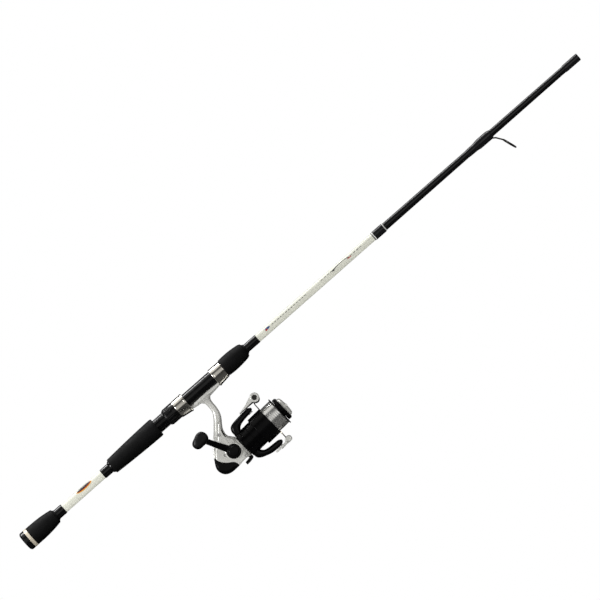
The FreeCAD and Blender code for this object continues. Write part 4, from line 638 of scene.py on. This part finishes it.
def rear_cover():
    """The black shell at the rear and below."""
    outer = [(-23.2, 14.0, 1), (-25.9, 9.9), (-28.4, 6.0), (-29.8, 2.1), (-29.8, -1.9), (-28.5, -5.8),
             (-26.1, -9.0), (-22.8, -11.1), (-18.9, -12.3), (-13.5, -12.75), (-7.5, -12.8, 1)]
    inner = [(-6.5, -10.1), (-7.6, -6.3), (-10.5, -3.3), (-14.6, -0.4), (-18.0, 3.2), (-20.2, 6.4),
             (-21.6, 10.4)]
    loop = smooth_loop(outer + inner, 0.8)

    def soft(x, z):
        """Little rounding along the seam, and full rounding away from it."""
        toward = min(math.hypot(x - a, z - b) for a, b in inner)
        return 0.16 + 0.84 * min(1.0, max(0.0, (toward - 2.2) / 5.5))

    return Shape().pillow(loop, low=-12.95, high=12.95, round_low=4.6, weight=soft, steps=9)


# ---------------------------------------------------------------- the rotor and the bail


def rotor_cup():
    """The cup's profile (along, radius), with two fine grooves round its skirt."""
    return fillet(
        [(12.4, 10.4), (12.4, 16.0, 1.2), (13.6, 17.1, 0.5), (18.4, 17.15, 0.6), (19.0, 16.3, 0.4),
         (26.5, 16.15), (26.7, 15.9), (27.3, 15.9), (27.5, 16.15), (39.5, 16.15), (39.7, 15.9),
         (40.3, 15.9), (40.5, 16.15), (42.4, 16.1, 0.5), (42.4, 14.8, 0.3), (23.1, 14.7), (23.1, 2.6),
         (19.7, 2.6), (19.7, 10.4)],
    )


def rotor():
    """A cup with two smooth arms that grow out of its rear disc."""
    shape = Shape().lathe(rotor_cup(), segments=144)
    outer = [(12.7, 11.2), (12.7, 15.5), (12.9, 21.5), (15.4, 26.0), (20, 27.9), (26, 28.55), (34, 28.9),
             (41.5, 29.0), (45.4, 28.6), (47.7, 27.3)]
    inner = [(20.5, 11.2), (21.6, 14.6), (23.3, 17.3), (25.2, 19.1), (28, 20.3), (31.4, 21.1),
             (36, 21.6), (42, 22.0), (45.7, 22.4), (47.9, 23.7)]
    half = [7.4, 7.5, 7.4, 7.1, 6.8, 6.3, 5.5, 4.7, 4.3, 3.0]
    shape.sweep(rounded_end(paired(outer, inner, half)), power=2.8, segments=48)
    outer = [(12.7, -11.2), (12.7, -15), (13.6, -20.6), (18.0, -24.4), (23.6, -26.8), (29, -28.7),
             (35.5, -29.8), (42.2, -30.1), (45.6, -29.6), (47.6, -28.3)]
    inner = [(20.5, -11.2), (22.0, -14.8), (23.8, -17.8), (26, -19.9), (28.6, -20.8), (31.4, -21.4),
             (37, -22.0), (42.8, -22.6), (45.9, -23.2), (47.9, -24.6)]
    shape.sweep(rounded_end(paired(outer, inner, half)), power=2.8, segments=48)
    return shape


def bail_arm():
    """The lever on the roller's side, with a round head that takes the roller's screw."""
    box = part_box("line_roller")
    head = TO_REEL @ ((box[0] + box[1]) / 2 / MM)
    hx, hz = head.x, head.z
    shape = Shape()
    tail = fillet([(34.3, 29.35, 0.5), (54.5, 29.35), (55.6, 28.4), (57.0, 28.0), (56.6, hz), (57.0, 36.2),
                   (55.4, 36.3, 1), (50.5, 34.6, 6), (43.5, 32.2, 6), (34.5, 31.0, 0.6)], steps=8)
    shape.pillow(tail, low=-5.9, high=-3.2, round_low=0.9, round_high=0.5)
    plate = fillet([(34.3, -5.6, 1.2), (54.6, -5.6, 1), (54.4, 2.6, 2), (48, 4.6, 2), (41, 4.2, 3),
                    (34.3, 0.6, 2)], steps=8)
    shape.pillow(plate, low=29.32, high=31.2, round_low=0.25, round_high=0.8, plane="XY")
    ring = fillet([(-6.0, 3.25, 0.3), (-6.0, 4.6, 0.4), (-5.5, 5.75, 0.7), (-3.4, 5.75, 0.4),
                   (-3.2, 5.2), (-3.2, 1.3), (-4.75, 1.3), (-4.75, 3.25)])
    shape.lathe(ring, centre=(hx, 0, hz), axis="Y", segments=96)
    return shape


def bail_holder():
    """The holder on the far side, which takes the wire's other end."""
    shape = Shape()
    side = smooth_loop([(33.9, -31.5), (36, -30.7), (44, -30.55), (49.3, -30.4), (51.0, -28.6),
                        (52.8, -26.9), (56.4, -26.7), (59.0, -28.6), (59.4, -31.4), (57.9, -33.7),
                        (54.6, -34.2), (48, -33.6), (40, -32.9), (35, -32.6)], 0.7)
    shape.pillow(side, low=-1.0, high=4.95, round_low=1.6)
    plate = fillet([(34.1, -2, 1.2), (40, -4.2, 3), (51.5, -3.6, 1), (52, 4.6, 1), (41, 4.6, 3),
                    (34.1, 2.0, 1.2)], steps=8)
    shape.pillow(plate, low=-33.0, high=-30.5, round_low=0.8, round_high=0.25, plane="XY")
    return shape


def roller_boss():
    """The round boss behind the roller, where the wire begins."""
    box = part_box("roller_boss")
    middle = TO_REEL @ ((box[0] + box[1]) / 2 / MM)
    profile = fillet([(1.65, 1.25), (1.65, 4.4, 0.3), (2.3, 5.15, 0.6), (3.7, 5.1, 0.8), (4.55, 3.6, 0.6),
                      (4.55, 1.25)])
    return Shape().lathe(profile, centre=(middle.x, 0, middle.z), axis="Y", segments=72)


# ---------------------------------------------------------------- the crank


def crank_arm():
    """The arm and its round hub. It is drawn in the reel's frame, outboard towards -y."""
    shape = Shape()
    hub = fillet([(-27.1, 3.3), (-27.1, 7.6, 1.0), (-28.2, 8.75, 1.0), (-34.2, 8.85, 1.2),
                  (-35.4, 7.4, 0.6), (-35.4, 6.7, 0.15), (-35.15, 6.6), (-35.15, 6.15), (-34.6, 6.05),
                  (-34.6, 3.3)])
    shape.lathe(hub, centre=(crank_at.x, 0, crank_at.z), axis="Y", segments=112)
    along = Vector((knob_at.x - crank_at.x, 0, knob_at.z - crank_at.z))
    length = along.length
    along.normalize()
    across = Vector((along.z, 0, -along.x))
    out = Vector((0, -1, 0))
    # distance from the axle, outboard, half width, half thickness
    rows = [(2.0, 32.4, 4.5, 2.0), (7.0, 33.0, 4.3, 2.1), (12, 34.4, 4.0, 2.05), (20, 37.6, 3.7, 1.95),
            (28, 40.9, 3.45, 1.9), (33, 42.9, 3.4, 1.9), (length - 2, 43.9, 3.7, 1.9),
            (length + 1.8, 44.0, 3.5, 1.85)]
    start = Vector((crank_at.x, 0, crank_at.z))
    stations = []
    for distance, outboard, half, thick in rows:
        stations.append((start + along * distance + out * outboard, across * half, out * thick))
    dense = []
    parts = 6
    for (c1, s1, t1), (c2, s2, t2) in zip(stations, stations[1:]):
        for k in range(parts):
            f = k / parts
            dense.append((c1.lerp(c2, f), s1.lerp(s2, f), t1.lerp(t2, f)))
    dense.append(stations[-1])
    shape.sweep(rounded_end(dense, reach=1.2), power=3.2, segments=44)
    return shape


def knob():
    """A soft egg-shaped paddle, its narrow lobe towards the rear, waisted where it meets the arm."""
    # outboard, and the outline's scale there
    rows = [(48.1, 0.42), (48.6, 0.58), (50.0, 0.72), (52.5, 0.83), (56, 0.93), (60, 0.985), (63.5, 1.0),
            (66.2, 0.97), (67.9, 0.89), (68.9, 0.76), (69.35, 0.58), (69.45, 0.34)]
    egg = smooth_loop([(7.3, 3.2), (5.0, 6.6), (0.5, 7.9), (-5.2, 6.6), (-10.0, 5.0), (-12.4, 2.0),
                       (-12.2, -2.6), (-9.4, -5.6), (-4.0, -6.6), (1.0, -7.0), (5.4, -5.2),
                       (7.6, -1.2)], 1.3)
    lean = math.radians(6)
    grown = 1.06
    toward_tip = 1.2
    rings = []
    for outboard, scale in rows:
        ring = []
        for u, v in egg:
            narrow = scale ** (1.0 if u > 0 else 1.35)
            x, z = u * narrow * grown + toward_tip, v * scale * grown
            ring.append((knob_at.x + x * math.cos(lean) - z * math.sin(lean), -outboard,
                         knob_at.z + x * math.sin(lean) + z * math.cos(lean)))
        rings.append(ring)
    return Shape().rings(rings)


# ---------------------------------------------------------------- the spool


def wound_line():
    """The line: level turns that build up a little unevenly, with a straight face at each end."""
    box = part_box("wound_line")
    low = (TO_REEL @ (box[0] / MM)).x
    start, stop, core, full = 54.6, 69.4, 12.7, 16.85
    profile = [(start - 0.05, core)]
    count = 42
    for i in range(count + 1):
        t = i / count
        x = start + (stop - start) * t
        uneven = 0.05 * math.sin(t * 37) + 0.04 * math.sin(t * 83 + low)
        profile.append((x, full + 0.2 * math.sin(math.pi * t) + uneven))
    profile.append((stop + 0.05, core))
    return Shape().lathe(profile, segments=128)


# ---------------------------------------------------------------- the seat's hoods


def hood(mouth, root, radius, mouth_drop, root_drop):
    """A round sleeve with a rolled mouth, let down below so that it takes the foot's end."""
    inner, wall = 9.1, 1.25
    out = 1 if root > mouth else -1
    profile = fillet(
        [(root, inner), (root, radius - 0.7), (root - 0.9 * out, radius - 0.1, 1.2),
         (mouth + 2.6 * out, radius, 3), (mouth + 1.7 * out, radius + 0.25, 0.8),
         (mouth, radius + 0.2, 0.7), (mouth - 0.05 * out, radius - 0.9, 0.4),
         (mouth + 1.2 * out, inner + 0.2, 0.5)],
        steps=6,
    )
    shape = Shape().lathe(profile, segments=160)
    let_down = []
    for x, y, z in shape.verts:
        t = min(1, max(0, (x - mouth) / (root - mouth)))
        drop = mouth_drop + (root_drop - mouth_drop) * t
        far = math.hypot(y, z)
        share = (far - inner) / (radius - inner)
        wanted = (drop - wall) * (1 - share) + drop * share
        low = max(0, -z / far) ** 2
        let_down.append((x, y, z * (1 + (wanted / far - 1) * low)))
    shape.verts = let_down
    return shape


# ---------------------------------------------------------------- putting it together


def build():
    """Draw every piece that stands in for CAD nodes."""
    silver, black = looks["reel_silver"], looks["reel_black"]
    piece("stem_and_housing", body(), silver, "rod", REEL, ["reel_body"])
    piece("crank_side_cover", side_cover(), silver, "rod", REEL, ["side_cover"])
    piece("rear_shell", rear_cover(), black, "rod", REEL, ["rear_cover"])
    piece("rotor_shell", rotor(), black, "rotor_set", REEL, ["rotor"])
    piece("bail_lever", bail_arm(), silver, "bail", REEL, ["bail_arm"])
    piece("wire_holder", bail_holder(), silver, "bail", REEL, ["bail_holder"])
    piece("wire_boss", roller_boss(), black, "bail", REEL, ["roller_boss"])
    piece("crank_lever", crank_arm(), black, "crank", REEL, ["handle_arm"])
    piece("crank_knob", knob(), looks["soft_knob"], "knob", REEL, ["handle_knob"])
    nylon = looks["nylon_line"]
    piece("line_winding", wound_line(), nylon, "spool_set", REEL, ["wound_line"])
    metal = looks["hood_metal"]
    rear = hood(mouth=-21.2, root=-36.5, radius=11.0, mouth_drop=14.0, root_drop=11.7)
    front = hood(mouth=21.2, root=37.0, radius=10.3, mouth_drop=13.2, root_drop=11.5)
    piece("nut_hood", rear, metal, "hood", PART, ["moving_hood"])
    piece("front_hood", front, metal, "rod", PART, ["fixed_hood"])


def dress_cad():
    """Give every CAD node its material, and soften the edges of those that show."""
    # bevel width in millimetres, by node
    softened = {"butt_cap": 0.35, "butt_ring": 0.2, "hood_nut": 0.3, "seat_barrel": 0.08,
                "drag_knob": 0.35, "drag_dome": 0.3, "spool": 0.2, "spool_lip": 0.2, "hub_cap": 0.25,
                "off_side_cap": 0.3, "anti_reverse_lever": 0.5, "bail_pivot_screws": 0.2,
                "side_cover_screws": 0.15, "line_roller": 0.15}
    for entry in frame["record"]["subparts"]:
        obj = nodes[entry["node"]]
        obj.data.materials.clear()
        obj.data.materials.append(looks[entry["material_slot"]])
        width = softened.get(entry["node"])
        if width:
            bevel = obj.modifiers.new("edges", "BEVEL")
            bevel.width = width * MM
            bevel.segments = 2
            bevel.limit_method = "ANGLE"
            bevel.angle_limit = BEVEL_ANGLE
            bevel.harden_normals = True


# ---------------------------------------------------------------- the studio

TARGET = Vector((0.1569, 0, 0.0010))  # what the camera and the lamps look at
CAMERA_DISTANCE = 6.0
VIEW_WIDTH = 0.7014  # seen across at the target
CAMERA_ROLL = math.radians(41.3)
SENSOR_WIDTH = 36
FLOOR_LEVEL = -0.6
FLOOR_X = (-1.6, 1.9)
FLOOR_Y = (-1.5, 0.35)


def surround(scene):
    """A world that is plain white to the camera, and lights the part in bands from pale to dark."""
    world = bpy.data.worlds.new("studio")
    scene.world = world
    world.use_nodes = True
    tree = world.node_tree
    tree.nodes.clear()
    seen = tree.nodes.new("ShaderNodeBackground")
    seen.inputs["Color"].default_value = (1, 1, 1, 1)
    lit = tree.nodes.new("ShaderNodeBackground")
    place = tree.nodes.new("ShaderNodeTexCoord")
    split = tree.nodes.new("ShaderNodeSeparateXYZ")
    tree.links.new(place.outputs["Generated"], split.inputs[0])
    behind = tree.nodes.new("ShaderNodeMapRange")
    for name, value in (("From Min", 0.0), ("From Max", 0.45), ("To Min", 0.66), ("To Max", 0.08)):
        behind.inputs[name].default_value = value
    tree.links.new(split.outputs["Y"], behind.inputs["Value"])
    tree.links.new(behind.outputs[0], lit.inputs["Strength"])
    ramp = tree.nodes.new("ShaderNodeValToRGB")
    lift = tree.nodes.new("ShaderNodeMapRange")
    lift.inputs["From Min"].default_value = -1
    tree.links.new(split.outputs["Z"], lift.inputs["Value"])
    tree.links.new(lift.outputs[0], ramp.inputs[0])
    stops = [(0.0, 0.12), (0.34, 0.05), (0.40, 0.06), (0.45, 0.75), (0.72, 0.62), (0.79, 0.12),
             (0.91, 0.09), (0.945, 1.2), (1.0, 1.3)]
    ramp.color_ramp.elements[0].position = stops[0][0]
    ramp.color_ramp.elements[1].position = stops[-1][0]
    for position, _ in stops[1:-1]:
        ramp.color_ramp.elements.new(position)
    for element, (position, level) in zip(ramp.color_ramp.elements, stops):
        element.position = position
        element.color = (level, level * 0.985, level * 0.96, 1)
    tree.links.new(ramp.outputs[0], lit.inputs["Color"])
    path = tree.nodes.new("ShaderNodeLightPath")
    mix = tree.nodes.new("ShaderNodeMixShader")
    tree.links.new(path.outputs["Is Camera Ray"], mix.inputs[0])
    tree.links.new(lit.outputs[0], mix.inputs[1])
    tree.links.new(seen.outputs[0], mix.inputs[2])
    out = tree.nodes.new("ShaderNodeOutputWorld")
    tree.links.new(mix.outputs[0], out.inputs["Surface"])


def pale_floor(scene):
    """A floor well below the part, which ends close behind it."""
    (x1, x2), (y1, y2), z = FLOOR_X, FLOOR_Y, FLOOR_LEVEL
    floor = bpy.data.meshes.new("floor")
    floor.from_pydata([(x1, y1, z), (x2, y1, z), (x2, y2, z), (x1, y2, z)], [], [(0, 1, 2, 3)])
    floor_obj = bpy.data.objects.new("floor", floor)
    scene.collection.objects.link(floor_obj)
    pale = Look("floor_pale")
    pale.set(Base_Color=pale.mix(pale.noise(3), (0.82, 0.82, 0.81), (0.86, 0.86, 0.85)), Roughness=0.8)
    floor.materials.append(pale.material)
    floor_obj.visible_glossy = False


def lamps(scene):
    """Three soft lamps that face the part: name, place, size in metres, power in watts."""
    for name, place_at, size, power in (
        ("key", (-1.2, -1.1, 0.7), (0.6, 0.6), 24),
        ("fill", (0.9, -1.9, 0.1), (1.2, 1.2), 3),
        ("rim", (0.15, 0.35, 1.4), (2.2, 0.3), 32),
    ):
        light = bpy.data.lights.new(name, "AREA")
        light.shape = "RECTANGLE"
        light.size, light.size_y = size
        light.energy = power
        lamp = bpy.data.objects.new(name, light)
        lamp.location = place_at
        lamp.rotation_mode = "QUATERNION"
        lamp.rotation_quaternion = (TARGET - Vector(place_at)).to_track_quat("-Z", "Y")
        scene.collection.objects.link(lamp)


def rolled_camera(scene):
    """A camera that looks along +y from far off, rolled so that the rod runs up to the right."""
    data = bpy.data.cameras.new("camera")
    data.sensor_width = SENSOR_WIDTH
    data.lens = data.sensor_width * CAMERA_DISTANCE / VIEW_WIDTH
    camera = bpy.data.objects.new("camera", data)
    c, s = math.cos(CAMERA_ROLL), math.sin(CAMERA_ROLL)
    turn = Matrix(((c, s, 0), (0, 0, -1), (-s, c, 0)))
    camera.matrix_world = Matrix.Translation(TARGET + Vector((0, -CAMERA_DISTANCE, 0))) @ turn.to_4x4()
    scene.collection.objects.link(camera)
    scene.camera = camera


def studio():
    """A pale floor well below, a white surround, soft lamps, and the camera."""
    scene = bpy.context.scene
    scene.view_settings.view_transform = "Standard"
    surround(scene)
    pale_floor(scene)
    lamps(scene)
    rolled_camera(scene)


build()
dress_cad()
studio()
